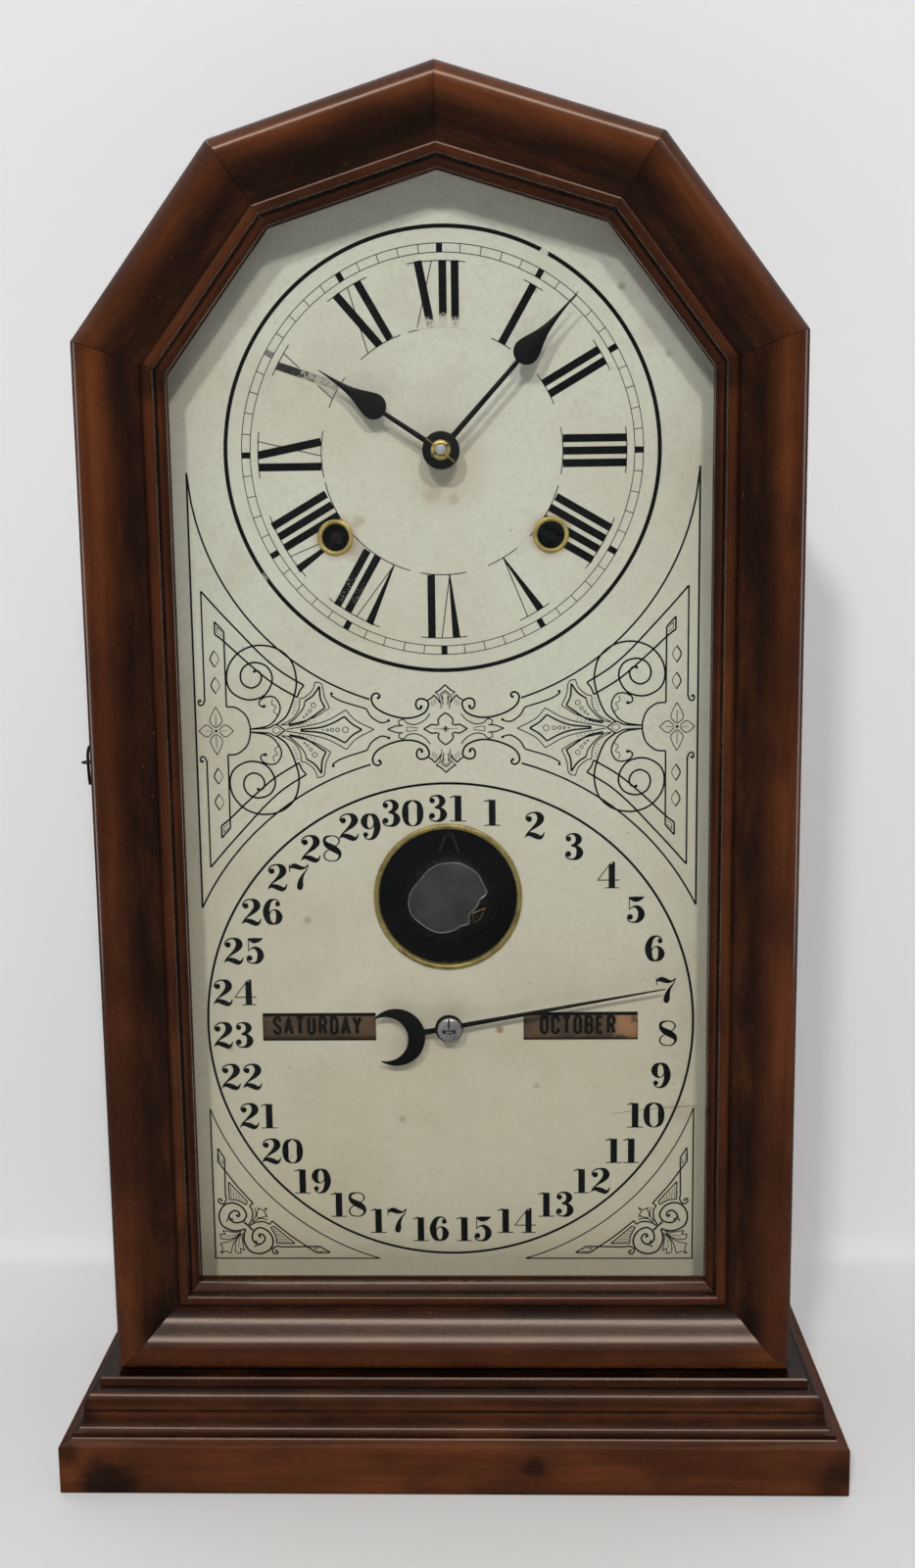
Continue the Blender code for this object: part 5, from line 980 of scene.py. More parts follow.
# Bold upright numerals with thick stems, hairlines and ball terminals, drawn 100 units high, as
# (width, strokes, balls). A stroke is a list of (x, z, width) knots, and a ball is (x, z, radius).
DIGITS = {
    "0": (64, [
        [
            (32, 98.5, 3), (50, 84, 14), (54, 50, 21), (50, 16, 14), (32, 1.5, 3), (14, 16, 14),
            (10, 50, 21), (14, 84, 14), (32, 98.5, 3),
        ],
    ], []),
    "1": (52, [
        [(28, 97, 21), (28, 50, 21), (28, 1, 21)],
        [(4, 1.6, 3.2), (28, 1.6, 3.2), (52, 1.6, 3.2)],
        [(3, 91, 2.6), (12, 93, 4), (20, 97, 6)],
    ], []),
    "2": (64, [
        [
            (6, 72, 3), (9, 86, 4), (20, 96, 4.5), (33, 98, 6), (45, 90, 17), (50, 74, 22), (42, 56, 16),
            (26, 38, 8), (10, 20, 3.2), (3, 3, 2.4),
        ],
        [(5, 8, 3), (16, 17, 12), (32, 12, 17), (46, 5, 15), (55, 9, 8), (61, 24, 2.4)],
    ], [(16, 74, 11)]),
    "3": (62, [
        [(7, 78, 3), (12, 92, 4), (26, 98, 5), (39, 92, 14), (45, 77, 20), (38, 61, 13), (22, 53, 3.4)],
        [(22, 53.5, 3.4), (40, 48, 11), (48, 28, 22), (41, 9, 15), (26, 1.8, 5), (10, 8, 4), (5, 22, 3)],
    ], [(15, 79, 10), (14, 22, 11)]),
    "4": (68, [
        [(45, 92, 20), (45, 50, 20), (45, 1, 20)],
        [(44, 98, 3), (24, 66, 3), (3, 31, 3)],
        [(2, 31, 3.2), (34, 31, 3.2), (68, 31, 3.2)],
        [(24, 1.6, 3.2), (45, 1.6, 3.2), (67, 1.6, 3.2)],
        [(46, 99, 2), (50, 97, 8), (51, 90, 8)],
    ], []),
    "5": (62, [
        [(12, 96, 5), (28, 90, 17), (44, 92, 13), (57, 99, 2.6)],
        [(12.5, 97, 3), (12.5, 72, 3), (12.5, 49, 3)],
        [
            (12, 50, 3), (24, 61, 4.5), (37, 59, 13), (47, 44, 19), (48, 26, 21), (40, 8, 13),
            (26, 1.8, 5), (11, 7, 4), (6, 20, 3),
        ],
    ], [(15, 22, 11)]),
    "6": (64, [
        [
            (52, 80, 3), (48, 92, 4), (36, 98, 5), (22, 88, 14), (13, 62, 20), (13, 38, 21), (20, 12, 15),
            (34, 1.8, 4),
        ],
        [(34, 1.8, 4), (46, 12, 15), (51, 31, 21), (46, 50, 13), (35, 58, 4), (25, 50, 4), (21, 36, 3)],
    ], [(47, 80, 9.5)]),
    "7": (64, [
        [(4, 100, 3), (4, 84, 3), (5, 70, 3)],
        [(4, 86, 4), (18, 93, 16), (36, 86, 14), (50, 86, 6), (61, 98, 3)],
        [(61, 98, 2.6), (56, 80, 3.4), (44, 58, 8), (37, 36, 15), (35, 16, 21)],
    ], [(34, 12, 11)]),
    "8": (62, [
        [
            (31, 98.3, 3.4), (13, 92, 8), (9, 77, 10), (18, 62, 18), (36, 49, 22), (50, 36, 17),
            (54, 22, 9), (46, 6, 5), (31, 1.7, 3.4), (14, 7, 4.4), (7, 22, 5), (13, 38, 4), (30, 50, 3.2),
            (46, 63, 3.6), (53, 78, 5), (46, 93, 4), (31, 98.3, 3.4),
        ],
    ], []),
}
DIGITS["9"] = (
    64,
    [[(64 - x, 100 - z, width) for x, z, width in stroke] for stroke in DIGITS["6"][1]],
    [(64 - x, 100 - z, radius) for x, z, radius in DIGITS["6"][2]],
)
DIGIT_GAP = 1
DIGIT_STRETCH = 1.26
DIGIT_WEIGHT = 1.2


def draw_digits(target, text, middle, height):
    """A number set upright and centred on a point."""
    scale = height / 100
    cursor = -(sum(DIGITS[letter][0] for letter in text) + DIGIT_GAP * (len(text) - 1)) / 2

    def at(x, z):
        return (middle[0] + (cursor + x) * scale * DIGIT_STRETCH, middle[1] + (z - 50) * scale)

    for letter in text:
        width, strokes, balls = DIGITS[letter]
        for knots in strokes:
            path = smooth_path(knots, 6)
            widths = [max(w, 1.5) * scale * DIGIT_WEIGHT for _, _, w in path]
            target.stroke([at(x, z) for x, z, _ in path], widths)
        for x, z, radius in balls:
            target.disc(at(x, z), radius * scale)
        cursor += width + DIGIT_GAP


def build_date_numbers():
    dates = Print("date_numbers")
    for day in range(1, 32):
        draw_digits(dates, str(day), polar(CALENDAR_CENTRE, day * 360 / 31, DATE_RADIUS), DATE_HEIGHT)
    dates.finish()


# The ornament between the dials: lines of the upper right quarter as (width, points), measured
# from the middle of the band between the two rings; each list of points is one smooth curve.
# Balls and circles are (x, z, radius), and those on the middle line are (x, radius).
SPANDREL_MIDDLE_Z = 301.5
SPANDREL_EDGE = 100.8
SPANDREL_ARCS = ((TIME_CENTRE, 101.0, -1), (CALENDAR_CENTRE, 112.3, 1))
ARC_END_X = 30.4
ARC_WIDTH = 0.75
BORDER_WIDTH = 0.78
LINE_WEIGHT = 1.5
FINE_LINE = 0.2
SPANDREL_CURVES = (
    (0.5, [
        (68.3, 2.2), (63.8, 6.1), (60.6, 14.0), (59.6, 20.5), (61.5, 27.9), (67.0, 32.8), (74.7, 34.2),
        (81.8, 31.9), (86.4, 26.7), (87.7, 20.8), (86.1, 16.0), (81.9, 13.1), (77.4, 12.5), (72.8, 14.1),
        (69.9, 18.1), (69.4, 22.3), (71.8, 26.1), (76.7, 27.4), (80.6, 25.6), (82.1, 22.1), (81.1, 18.8),
        (78.0, 17.2), (74.9, 18.5), (73.6, 21.3), (74.4, 23.6), (76.4, 24.2),
    ]),
    (0.42, [
        (78.6, 0.6), (71.6, 1.9), (68.0, 5.1), (66.4, 9.3), (68.3, 13.1), (71.5, 13.7), (74.3, 12.4),
        (74.8, 10.5), (73.2, 9.4),
    ]),
    (0.22, [(68.9, 3.4), (67.7, 6.2), (69.2, 7.6), (68.1, 9.6), (69.8, 10.6), (69.4, 12.6)]),
    (0.5, [(56.6, 18.0), (65.7, 23.7), (73.4, 30.4), (82.1, 39.6), (89.5, 47.6), (96.8, 55.9)]),
    (0.5, [(59.4, 13.2), (69.6, 19.4), (79.3, 27.6), (88.1, 35.8), (91.8, 38.8)]),
    (0.45, [(56.6, 18.0), (58.3, 15.9), (59.4, 13.2)]),
    (0.45, [(91.8, 38.8), (91.8, 43.8)]),
    (0.45, [(91.8, 43.8), (88.2, 39.8)]),
    (0.2, [(88.9, 37.9), (90.8, 39.5)]),
    (0.2, [(90.8, 39.5), (90.9, 41.7)]),
    (0.2, [(90.9, 41.7), (88.9, 39.4)]),
    (0.45, [(88.2, 39.8), (88.1, 9.7)]),
    (0.45, [(88.1, 9.7), (84.2, 9.3), (80.4, 6.2), (78.9, 2.0), (78.8, -0.2)]),
    (0.45, [
        (96.8, 55.9), (96.8, 34.0), (96.8, 14.0), (96.9, 12.4), (97.6, 10.7), (98.9, 10.5), (99.4, 11.9),
        (98.6, 12.8),
    ]),
    (0.2, [(92.3, 32.3), (90.6, 29.0), (92.3, 25.7)]),
    (0.38, [(92.3, 32.3), (94.0, 29.0), (92.3, 25.7)]),
    (0.2, [(92.3, 21.7), (90.6, 18.4), (92.3, 15.1)]),
    (0.38, [(92.3, 21.7), (94.0, 18.4), (92.3, 15.1)]),
    (0.28, [(64.4, 0.3), (53.3, 2.2), (46.8, 4.2), (40.0, 8.0)]),
    (0.28, [(40.0, 8.0), (36.0, 3.7), (28.8, 0.0)]),
    (0.48, [(58.5, 0.3), (50.7, 1.0), (45.5, 2.7), (40.6, 5.3)]),
    (0.48, [(40.6, 5.3), (37.7, 2.4), (33.7, 0.0)]),
    (0.28, [(66.4, 2.1), (61.2, 2.8), (53.3, 4.9), (46.5, 8.9)]),
    (0.28, [(46.5, 8.9), (48.5, 13.4), (49.4, 18.3), (52.0, 19.4)]),
    (0.28, [(52.0, 19.4), (53.3, 16.0), (56.3, 13.3), (58.5, 12.7)]),
    (0.28, [(58.5, 12.7), (58.9, 8.7), (61.5, 4.8), (66.4, 2.1)]),
    (0.48, [(63.1, 1.8), (56.6, 3.5), (48.4, 8.9)]),
    (0.48, [(48.4, 8.9), (50.1, 12.8), (50.4, 17.6)]),
    (0.48, [(50.4, 17.6), (53.0, 14.0), (56.3, 11.7)]),
    (0.35, [(56.3, 11.7), (57.2, 8.8), (60.2, 5.1), (63.4, 2.5)]),
    (0.4, [(78.6, 0.6), (71.6, 1.0), (68.2, 2.3), (64.7, 0.0)]),
    (0.2, [(70.0, 0.0), (68.3, 1.3), (66.4, 0.2)]),
    (0.42, [(45.9, 13.9), (41.6, 11.5), (31.8, 8.4)]),
    (0.42, [(31.8, 8.4), (29.8, 5.1), (26.2, 2.8), (23.4, 3.1)]),
    (0.52, [
        (26.8, 12.5), (26.2, 13.6), (27.6, 14.6), (29.3, 13.6), (29.5, 11.4), (27.8, 8.7), (23.8, 6.3),
        (17.9, 4.6), (12.8, 4.7), (8.5, 6.5), (6.8, 9.3), (7.2, 11.2), (9.4, 12.2), (11.3, 11.6),
        (11.8, 9.6), (10.9, 8.1), (9.5, 8.4),
    ]),
    (0.42, [(0.0, 17.7), (2.0, 15.8), (4.0, 14.6)]),
    (0.42, [(7.0, 11.6), (5.6, 12.4), (4.5, 13.6)]),
    (0.42, [(4.5, 13.6), (3.1, 12.1), (2.0, 10.4)]),
    (0.25, [(4.0, 14.6), (2.7, 13.6), (1.8, 10.1), (1.7, 8.1)]),
    (0.3, [(0.0, 15.4), (1.9, 13.8), (1.3, 12.5), (0.9, 9.7)]),
    (0.18, [(0.0, 14.6), (1.1, 13.6), (0.7, 12.0)]),
    (0.15, [(4.2, 12.2), (3.6, 10.2)]),
    (0.15, [(4.9, 11.8), (4.4, 9.4)]),
    (0.15, [(5.6, 11.2), (5.2, 9.2)]),
    (0.42, [(2.6, 1.7), (3.0, 3.4), (2.0, 5.0), (0.0, 6.5)]),
    (0.42, [(3.0, 1.5), (5.7, 1.7), (7.5, 0.7), (8.8, 0.0)]),
    (0.2, [(0.0, 1.3), (0.4, 0.6), (1.3, 0.0)]),
    (0.3, [
        (6.2, 6.1), (8.5, 3.5), (12.0, 1.9), (15.1, 2.3), (16.7, 3.7), (17.9, 3.8), (18.9, 2.9),
        (18.3, 1.5),
    ]),
    (0.35, [(17.1, 1.5), (19.9, 1.3), (21.8, 0.6), (23.4, 0.0)]),
    (0.2, [(11.2, 0.4), (15.5, 0.9), (15.5, 0.0)]),
    (0.25, [(92.8, 1.2), (94.9, 3.4), (94.6, 5.8), (92.5, 9.7)]),
    (0.25, [(92.4, 1.2), (90.3, 3.4), (90.5, 5.8), (92.5, 9.7)]),
    (0.25, [(93.8, 0.4), (95.7, 2.2), (97.2, 2.1), (99.6, 0.0)]),
    (0.25, [(91.4, 0.4), (89.5, 2.2), (88.0, 2.1), (85.6, 0.0)]),
    (0.2, [(92.6, 1.4), (92.6, 6.8)]),
)
SPANDREL_AXIS_LINES = ((0.9, 4.8), (87.9, 91.6), (93.6, 97.0))
SPANDREL_BALLS = (
    (76.4, 23.8, 0.6), (72.9, 9.8, 0.65), (98.5, 12.2, 0.5), (45.6, 14.6, 0.6), (22.9, 3.5, 0.6),
    (26.9, 12.7, 0.6), (9.7, 9.0, 0.65),
)
SPANDREL_AXIS_BALLS = ((0.0, 0.55), (92.6, 0.6), (49.4, 0.35))
SPANDREL_CIRCLES = ((53.0, 10.0, 0.95), (54.5, 7.8, 0.65), (55.8, 6.3, 0.45), (57.0, 5.3, 0.3))
SPANDREL_AXIS_CIRCLES = ((40.3, 1.15), (43.5, 0.75), (45.7, 0.65), (47.6, 0.45))

# One half of a bottom corner's ornament, measured inward from the border and up from its foot;
# the other half is the same with the two distances changed over
CORNER_FOOT_Z = 76.5
CORNER_ARC_RADIUS = 107.2
CORNER_ARC_WIDTH = 0.5
CORNER_BORDER_WIDTH = 0.62
CORNER_FOOT_WIDTH = 0.55
CORNER_CURVES = (
    (0.4, [(2.6, 48.9), (2.4, 43.1)]),
    (0.4, [(5.3, 44.4), (2.6, 48.9)]),
    (0.2, [(3.1, 46.2), (3.0, 43.6)]),
    (0.2, [(3.0, 43.6), (4.5, 41.9)]),
    (0.2, [(4.5, 41.9), (4.6, 44.3)]),
    (0.42, [
        (5.3, 44.4), (5.2, 36.0), (5.1, 28.6), (5.4, 26.3), (4.0, 24.3), (2.2, 24.9), (2.2, 26.5),
        (3.3, 26.4),
    ]),
    (0.42, [(2.4, 43.1), (6.0, 38.0), (10.1, 32.3), (16.7, 24.5)]),
    (0.42, [(16.7, 24.5), (15.1, 23.4)]),
    (0.42, [(15.1, 23.4), (16.3, 21.2), (16.0, 17.4), (14.4, 14.8)]),
    (0.5, [
        (13.0, 13.2), (10.4, 12.4), (7.1, 12.5), (3.2, 14.8), (2.1, 19.4), (4.3, 23.6), (8.2, 24.7),
        (11.9, 22.9), (13.7, 19.4), (12.1, 16.6), (8.8, 15.9), (6.7, 17.4), (6.5, 19.6), (8.5, 21.3),
        (10.4, 20.6), (10.8, 19.1), (9.7, 18.5),
    ]),
    (0.2, [(7.4, 18.0), (8.0, 17.0), (6.4, 17.9), (5.2, 16.4), (5.9, 18.6), (6.9, 19.6)]),
    (0.35, [(6.6, 34.0), (6.7, 26.2)]),
    (0.35, [(6.7, 26.2), (9.9, 25.9), (13.8, 23.9)]),
    (0.35, [(13.8, 23.9), (14.3, 25.3)]),
    (0.35, [(14.3, 25.3), (6.6, 34.0)]),
    (0.18, [(7.4, 32.0), (7.6, 26.6)]),
    (0.18, [(8.5, 30.8), (8.7, 26.5)]),
    (0.18, [(9.6, 29.6), (9.8, 26.3)]),
    (0.18, [(10.7, 28.4), (10.9, 25.9)]),
    (0.18, [(11.8, 27.1), (12.0, 25.4)]),
    (0.18, [(12.9, 25.9), (13.0, 24.9)]),
    (0.3, [(16.8, 12.6), (12.2, 16.0)]),
    (0.3, [(16.8, 12.6), (17.2, 12.9)]),
    (0.28, [(11.4, 11.9), (8.5, 11.6), (3.5, 12.4)]),
    (0.28, [(3.5, 12.4), (4.5, 10.7)]),
    (0.28, [(4.5, 10.7), (2.2, 10.8)]),
    (0.28, [(2.2, 10.8), (3.0, 8.6), (7.5, 8.9), (11.2, 11.3)]),
    (0.18, [(4.8, 9.9), (8.4, 10.4), (10.6, 11.2)]),
    (0.28, [(11.0, 11.0), (6.9, 7.9), (2.2, 6.6)]),
    (0.28, [(2.2, 6.6), (3.1, 4.4), (2.3, 2.1)]),
    (0.28, [(2.3, 2.1), (3.4, 3.0)]),
    (0.28, [(19.3, 22.4), (18.3, 20.6), (18.0, 18.2)]),
    (0.28, [(19.3, 22.4), (20.6, 21.3)]),
    (0.28, [(20.6, 21.3), (22.6, 22.6)]),
    (0.28, [(17.2, 22.7), (17.8, 19.6), (16.2, 16.4)]),
    (0.22, [(18.4, 23.0), (18.8, 21.6)]),
)


def build_spandrels():
    """Scrolls, fans and rosettes either side of the middle, within arcs that follow the rings."""
    lines = Print("spandrel_lines")
    for side in (-1, 1):
        edge, end = side * SPANDREL_EDGE, side * ARC_END_X
        tips = []
        for centre, radius, way in SPANDREL_ARCS:
            spots = [edge + (end - edge) * i / 48 for i in range(49)]
            points = [(x, centre[1] + way * math.sqrt(radius**2 - x**2)) for x in spots]
            lines.stroke(points, ARC_WIDTH)
            tips.append(points[0])
        lines.stroke(tips, BORDER_WIDTH)
        for ends in SPANDREL_AXIS_LINES:
            lines.stroke([(side * x, SPANDREL_MIDDLE_Z) for x in ends], FINE_LINE)
        # The ball in the very middle is drawn once
        for x, radius in SPANDREL_AXIS_BALLS[(side > 0) :]:
            lines.disc((side * x, SPANDREL_MIDDLE_Z), radius)
        for x, radius in SPANDREL_AXIS_CIRCLES:
            lines.ring((side * x, SPANDREL_MIDDLE_Z), radius, 0.32, 20)
        for half in (-1, 1):

            def at(x, z):
                return (side * x, SPANDREL_MIDDLE_Z + half * z)

            for width, points in SPANDREL_CURVES:
                lines.stroke(smooth_path([at(*point) for point in points], 5), width * LINE_WEIGHT)
            for x, z, radius in SPANDREL_BALLS:
                lines.disc(at(x, z), radius)
            for x, z, radius in SPANDREL_CIRCLES:
                lines.ring(at(x, z), radius, 0.3, 18)
            # Two rows of short shading lines inside the fan
            for i in range(5):
                low, high = at(52.6 + 1.5 * i, 2.8 - 0.3 * i), at(53.2 + 1.5 * i, 4.2 - 0.45 * i)
                lines.stroke([low, high], FINE_LINE)
                low, high = at(59.2 + 0.4 * i, 11.4 - 1.2 * i), at(60.6 + 0.3 * i, 11.9 - 1.2 * i)
                lines.stroke([low, high], FINE_LINE)
    lines.finish()


def build_corner_ornaments():
    """Scrolls in the two lower corners, within a border and an arc that follows the date ring."""
    lines = Print("corner_lines")
    middle_z = CALENDAR_CENTRE[1]
    reach = math.sqrt(CORNER_ARC_RADIUS**2 - (middle_z - CORNER_FOOT_Z) ** 2)
    tip = middle_z - math.sqrt(CORNER_ARC_RADIUS**2 - SPANDREL_EDGE**2)
    start = math.degrees(math.atan2(SPANDREL_EDGE, tip - middle_z))
    end = math.degrees(math.atan2(reach, CORNER_FOOT_Z - middle_z))
    angles = [start + (end - start) * i / 60 for i in range(61)]
    for side in (-1, 1):
        edge = side * SPANDREL_EDGE
        lines.stroke([(edge, tip), (edge, CORNER_FOOT_Z)], CORNER_BORDER_WIDTH)
        foot = [(side * (SPANDREL_EDGE + 0.3), CORNER_FOOT_Z), (side * reach, CORNER_FOOT_Z)]
        lines.stroke(foot, CORNER_FOOT_WIDTH)
        points = [polar(CALENDAR_CENTRE, side * angle, CORNER_ARC_RADIUS) for angle in angles]
        lines.stroke(points, CORNER_ARC_WIDTH)
        for swapped in (False, True):

            def at(across, up):
                if swapped:
                    across, up = up, across
                return (side * (SPANDREL_EDGE - across), CORNER_FOOT_Z + up)

            for width, points in CORNER_CURVES:
                lines.stroke(smooth_path([at(*point) for point in points], 5), width * LINE_WEIGHT)
            lines.disc(at(3.4, 25.8), 0.5)
            lines.disc(at(9.7, 19.2), 0.55)
    lines.finish()


# Narrow block letters for the rollers, 100 high and 46 wide: strokes as lists of (x, z) corners
BLOCK_LETTERS = {
    "A": [[(2, 0), (23, 100), (44, 0)], [(10, 30), (36, 30)]],
    "B": [
        [(6, 0), (6, 100), (30, 100), (40, 88), (40, 64), (30, 53), (6, 53)],
        [(30, 53), (41, 42), (41, 12), (30, 0), (6, 0)],
    ],
    "C": [
        [
            (40, 70), (40, 88), (30, 100), (16, 100), (6, 88), (6, 12), (16, 0), (30, 0), (40, 12),
            (40, 30),
        ],
    ],
    "D": [[(6, 0), (6, 100), (28, 100), (40, 88), (40, 12), (28, 0), (6, 0)]],
    "E": [[(38, 100), (6, 100), (6, 0), (38, 0)], [(6, 52), (32, 52)]],
    "F": [[(38, 100), (6, 100), (6, 0)], [(6, 52), (32, 52)]],
    "G": [
        [
            (40, 72), (40, 88), (30, 100), (16, 100), (6, 88), (6, 12), (16, 0), (30, 0), (40, 12),
            (40, 46), (24, 46),
        ],
    ],
    "H": [[(6, 0), (6, 100)], [(40, 0), (40, 100)], [(6, 52), (40, 52)]],
    "I": [[(23, 0), (23, 100)]],
    "J": [[(38, 100), (38, 12), (28, 0), (16, 0), (6, 12), (6, 28)]],
    "L": [[(6, 100), (6, 0), (38, 0)]],
    "M": [[(4, 0), (4, 100), (23, 40), (42, 100), (42, 0)]],
    "N": [[(6, 0), (6, 100), (40, 0), (40, 100)]],
    "O": [
        [
            (23, 100), (16, 100), (6, 88), (6, 12), (16, 0), (30, 0), (40, 12), (40, 88), (30, 100),
            (23, 100),
        ],
    ],
    "P": [[(6, 0), (6, 100), (30, 100), (40, 88), (40, 62), (30, 50), (6, 50)]],
    "R": [[(6, 0), (6, 100), (30, 100), (40, 88), (40, 64), (30, 52), (6, 52)], [(26, 52), (41, 0)]],
    "S": [
        [
            (39, 74), (39, 88), (30, 100), (15, 100), (6, 88), (6, 68), (39, 34), (39, 12), (30, 0),
            (15, 0), (6, 12), (6, 28),
        ],
    ],
    "T": [[(2, 100), (44, 100)], [(23, 100), (23, 0)]],
    "U": [[(6, 100), (6, 12), (16, 0), (30, 0), (40, 12), (40, 100)]],
    "V": [[(2, 100), (23, 0), (44, 100)]],
    "W": [[(0, 100), (11, 0), (23, 70), (35, 0), (46, 100)]],
    "Y": [[(2, 100), (23, 52), (44, 100)], [(23, 52), (23, 0)]],
}
LETTER_STROKE = 22.0
LETTER_MIDDLE = 23
LETTER_HEIGHT = 6.8
WORD_SHIFT = -1.1
# Painted shadow: dark strips above each name, where the window's edge shades the drum, by their
# distance round the drum from its middle
SHADOW_STRIP_CLIMBS = (4.4, 5.2, 5.9)
SHADOW_STRIP_WIDTH = 0.85
# From the name that shows at rest upward round the drum
WEEKDAYS = ("SATURDAY", "SUNDAY", "MONDAY", "TUESDAY", "WEDNESDAY", "THURSDAY", "FRIDAY")
MONTHS = (
    "OCTOBER", "NOVEMBER", "DECEMBER", "JANUARY", "FEBRUARY", "MARCH",
    "APRIL", "MAY", "JUNE", "JULY", "AUGUST", "SEPTEMBER",
)


def build_roller(name, side, centre_y, radius, body, words, pitch):
    """A papered drum with a name and dark strips of painted shadow for each step round it."""
    low = side * ROLLER_X - ROLLER_LENGTH / 2
    high = low + ROLLER_LENGTH
    edge = 0.5
    profile = [(0, low), (radius - edge, low), (radius, low + edge)]
    profile += [(radius, high - edge), (radius - edge, high), (0, high)]
    drum = turned(profile, (centre_y, ROLLER_Z), 84, "x")
    for near, far in ((low - 2.3, low + 0.1), (high - 0.1, high + 2.3)):
        tube([(near, centre_y, ROLLER_Z), (far, centre_y, ROLLER_Z)], 1.2, 16, shape=drum)
    fine_piece(name, drum, "roller_paper", body, "roller_paper")

    def wrap(x, climb, rise):
        """Carries a flat place to the drum's face: climb is the distance up the front."""
        turn = climb / radius
        reach = radius + rise
        return (x, centre_y - reach * math.cos(turn), ROLLER_Z + reach * math.sin(turn))

    letters = Print(name + "_names", wrap)
    scale = LETTER_HEIGHT / 100
    for number, word in enumerate(words):
        level = number * math.tau * radius / len(words)
        # Painted shadow under the window's top edge, as dark strips
        for climb in SHADOW_STRIP_CLIMBS:
            letters.stroke([(low + edge, level + climb), (high - edge, level + climb)], SHADOW_STRIP_WIDTH)
        base = level - LETTER_HEIGHT / 2
        start = side * ROLLER_X + WORD_SHIFT - pitch * len(word) / 2
        for place, letter in enumerate(word):
            left = start + pitch * (place + 0.5) - LETTER_MIDDLE * scale
            for knots in BLOCK_LETTERS[letter]:
                # Short steps, so that the strokes follow the drum and don't sink below it
                points = []
                for (x0, z0), (x1, z1) in zip(knots, knots[1:]):
                    cuts = max(1, int(abs(z1 - z0) / 8))
                    points += [(x0 + (x1 - x0) * k / cuts, z0 + (z1 - z0) * k / cuts) for k in range(cuts)]
                points.append(knots[-1])
                places = [(left + x * scale, base + z * scale) for x, z in points]
                letters.stroke(places, LETTER_STROKE * scale)
    letters.finish("roller_ink", body, "roller_paper")


# Hands
def blade(centre, angle, widths, front):
    """A flat hand with a crowned face through (distance, half width) stations."""
    way = polar((0, 0), angle, 1)
    across = Vector((way.y, -way.x))
    back = front + HAND_THICKNESS
    rings = []
    for reach, half in widths:
        edge = min(0.28, half * 0.5)
        section = [(-half, back), (-half, front + edge), (-half * 0.7, front + edge * 0.25), (0, front)]
        section += [(half * 0.7, front + edge * 0.25), (half, front + edge), (half, back)]
        spots = [(centre + way * reach + across * offset, y) for offset, y in section]
        rings.append([(spot.x, y, spot.y) for spot, y in spots])
    return loft(rings)


def spade(length, middle):
    """Half widths of a spade hand: a thin stem, a round bulge and a long hollow taper."""
    widths = [(5.0, 1.35), (8.0, 1.1)]
    start = middle - SPADE_RADIUS
    widths += [(8.0 + (start - 8.0) * k / 6, SPADE_STEM + 0.25 * (1 - k / 6)) for k in range(1, 7)]
    for k in range(1, 15):
        turn = math.pi / 2 * k / 14
        half = SPADE_RADIUS * math.sin(turn)
        widths.append((middle - SPADE_RADIUS * math.cos(turn), max(half, SPADE_STEM)))
    for k in range(1, 29):
        share = k / 28
        reach = (length - middle) * share
        flank = 1 / (1 + (reach / (SPADE_FLANK * SPADE_RADIUS)) ** 2)
        widths.append((middle + reach, max(0.16, SPADE_RADIUS * flank * (1 - share) ** 0.35)))
    return widths


def hub_ring(centre, radius, bore, front, back):
    rounding = 0.35
    profile = [(bore, front + 0.1), (bore + 0.1, front), (radius - rounding, front)]
    profile += [(radius - 0.1, front + 0.1), (radius, front + rounding), (radius, back), (bore, back)]
    return turned(profile, centre, 72)


def build_hands():
    """The spade hands and the domed collet before them."""
    hour_spade = spade(HOUR_HAND_LENGTH, HOUR_SPADE_REACH)
    minute_spade = spade(MINUTE_HAND_LENGTH, MINUTE_SPADE_REACH)
    hands = (
        ("hour_hand", "hour", HOUR_HAND_ANGLE, hour_spade, HOUR_HAND_Y, 3.5),
        ("minute_hand", "centre", MINUTE_HAND_ANGLE, minute_spade, MINUTE_HAND_Y, 1.5),
    )
    for name, body, angle, widths, front, bore in hands:
        arm = blade(TIME_CENTRE, angle, widths, front)
        ring = hub_ring(TIME_CENTRE, HAND_HUB_RADIUS, bore, front - 0.2, front + HAND_THICKNESS + 0.2)
        fine_piece(name, joined([ring, arm]), "blued_steel", body, "blued_steel")

    seat = MINUTE_HAND_Y - 0.5
    profile = [(1.5, seat - 0.6), (2.2, seat - 0.75), (2.5, seat - 1.2), (3.0, seat - 1.15)]
    profile += [(3.5, seat - 0.8), (3.85, seat - 0.4), (3.9, seat), (1.5, seat)]
    fine_piece("hand_collet", turned(profile, TIME_CENTRE), "aged_brass", "centre", "brass")


def build_hand_pin():
    """The taper pin that holds the minute hand's collet, and the arbor's rounded tip."""
    ends = [polar(TIME_CENTRE, angle, reach) for angle, reach in ((-52, 6.6), (132, 7.0))]
    pin = tube([(spot.x, MINUTE_HAND_Y - 2.15, spot.y) for spot in ends], [0.22, 0.34])
    new_piece("fine_hand_pin", pin, "copper_wire", "centre", "brass")
    tip = MINUTE_HAND_Y - 3.4
    profile = [(0, tip - 0.1), (0.9, tip - 0.02), (1.6, tip + 0.25), (1.95, tip + 0.7)]
    profile += [(1.95, tip + 0.9), (0, tip + 0.9)]
    new_piece("fine_arbor_tip", turned(profile, TIME_CENTRE), "pale_steel", "centre", "steel")


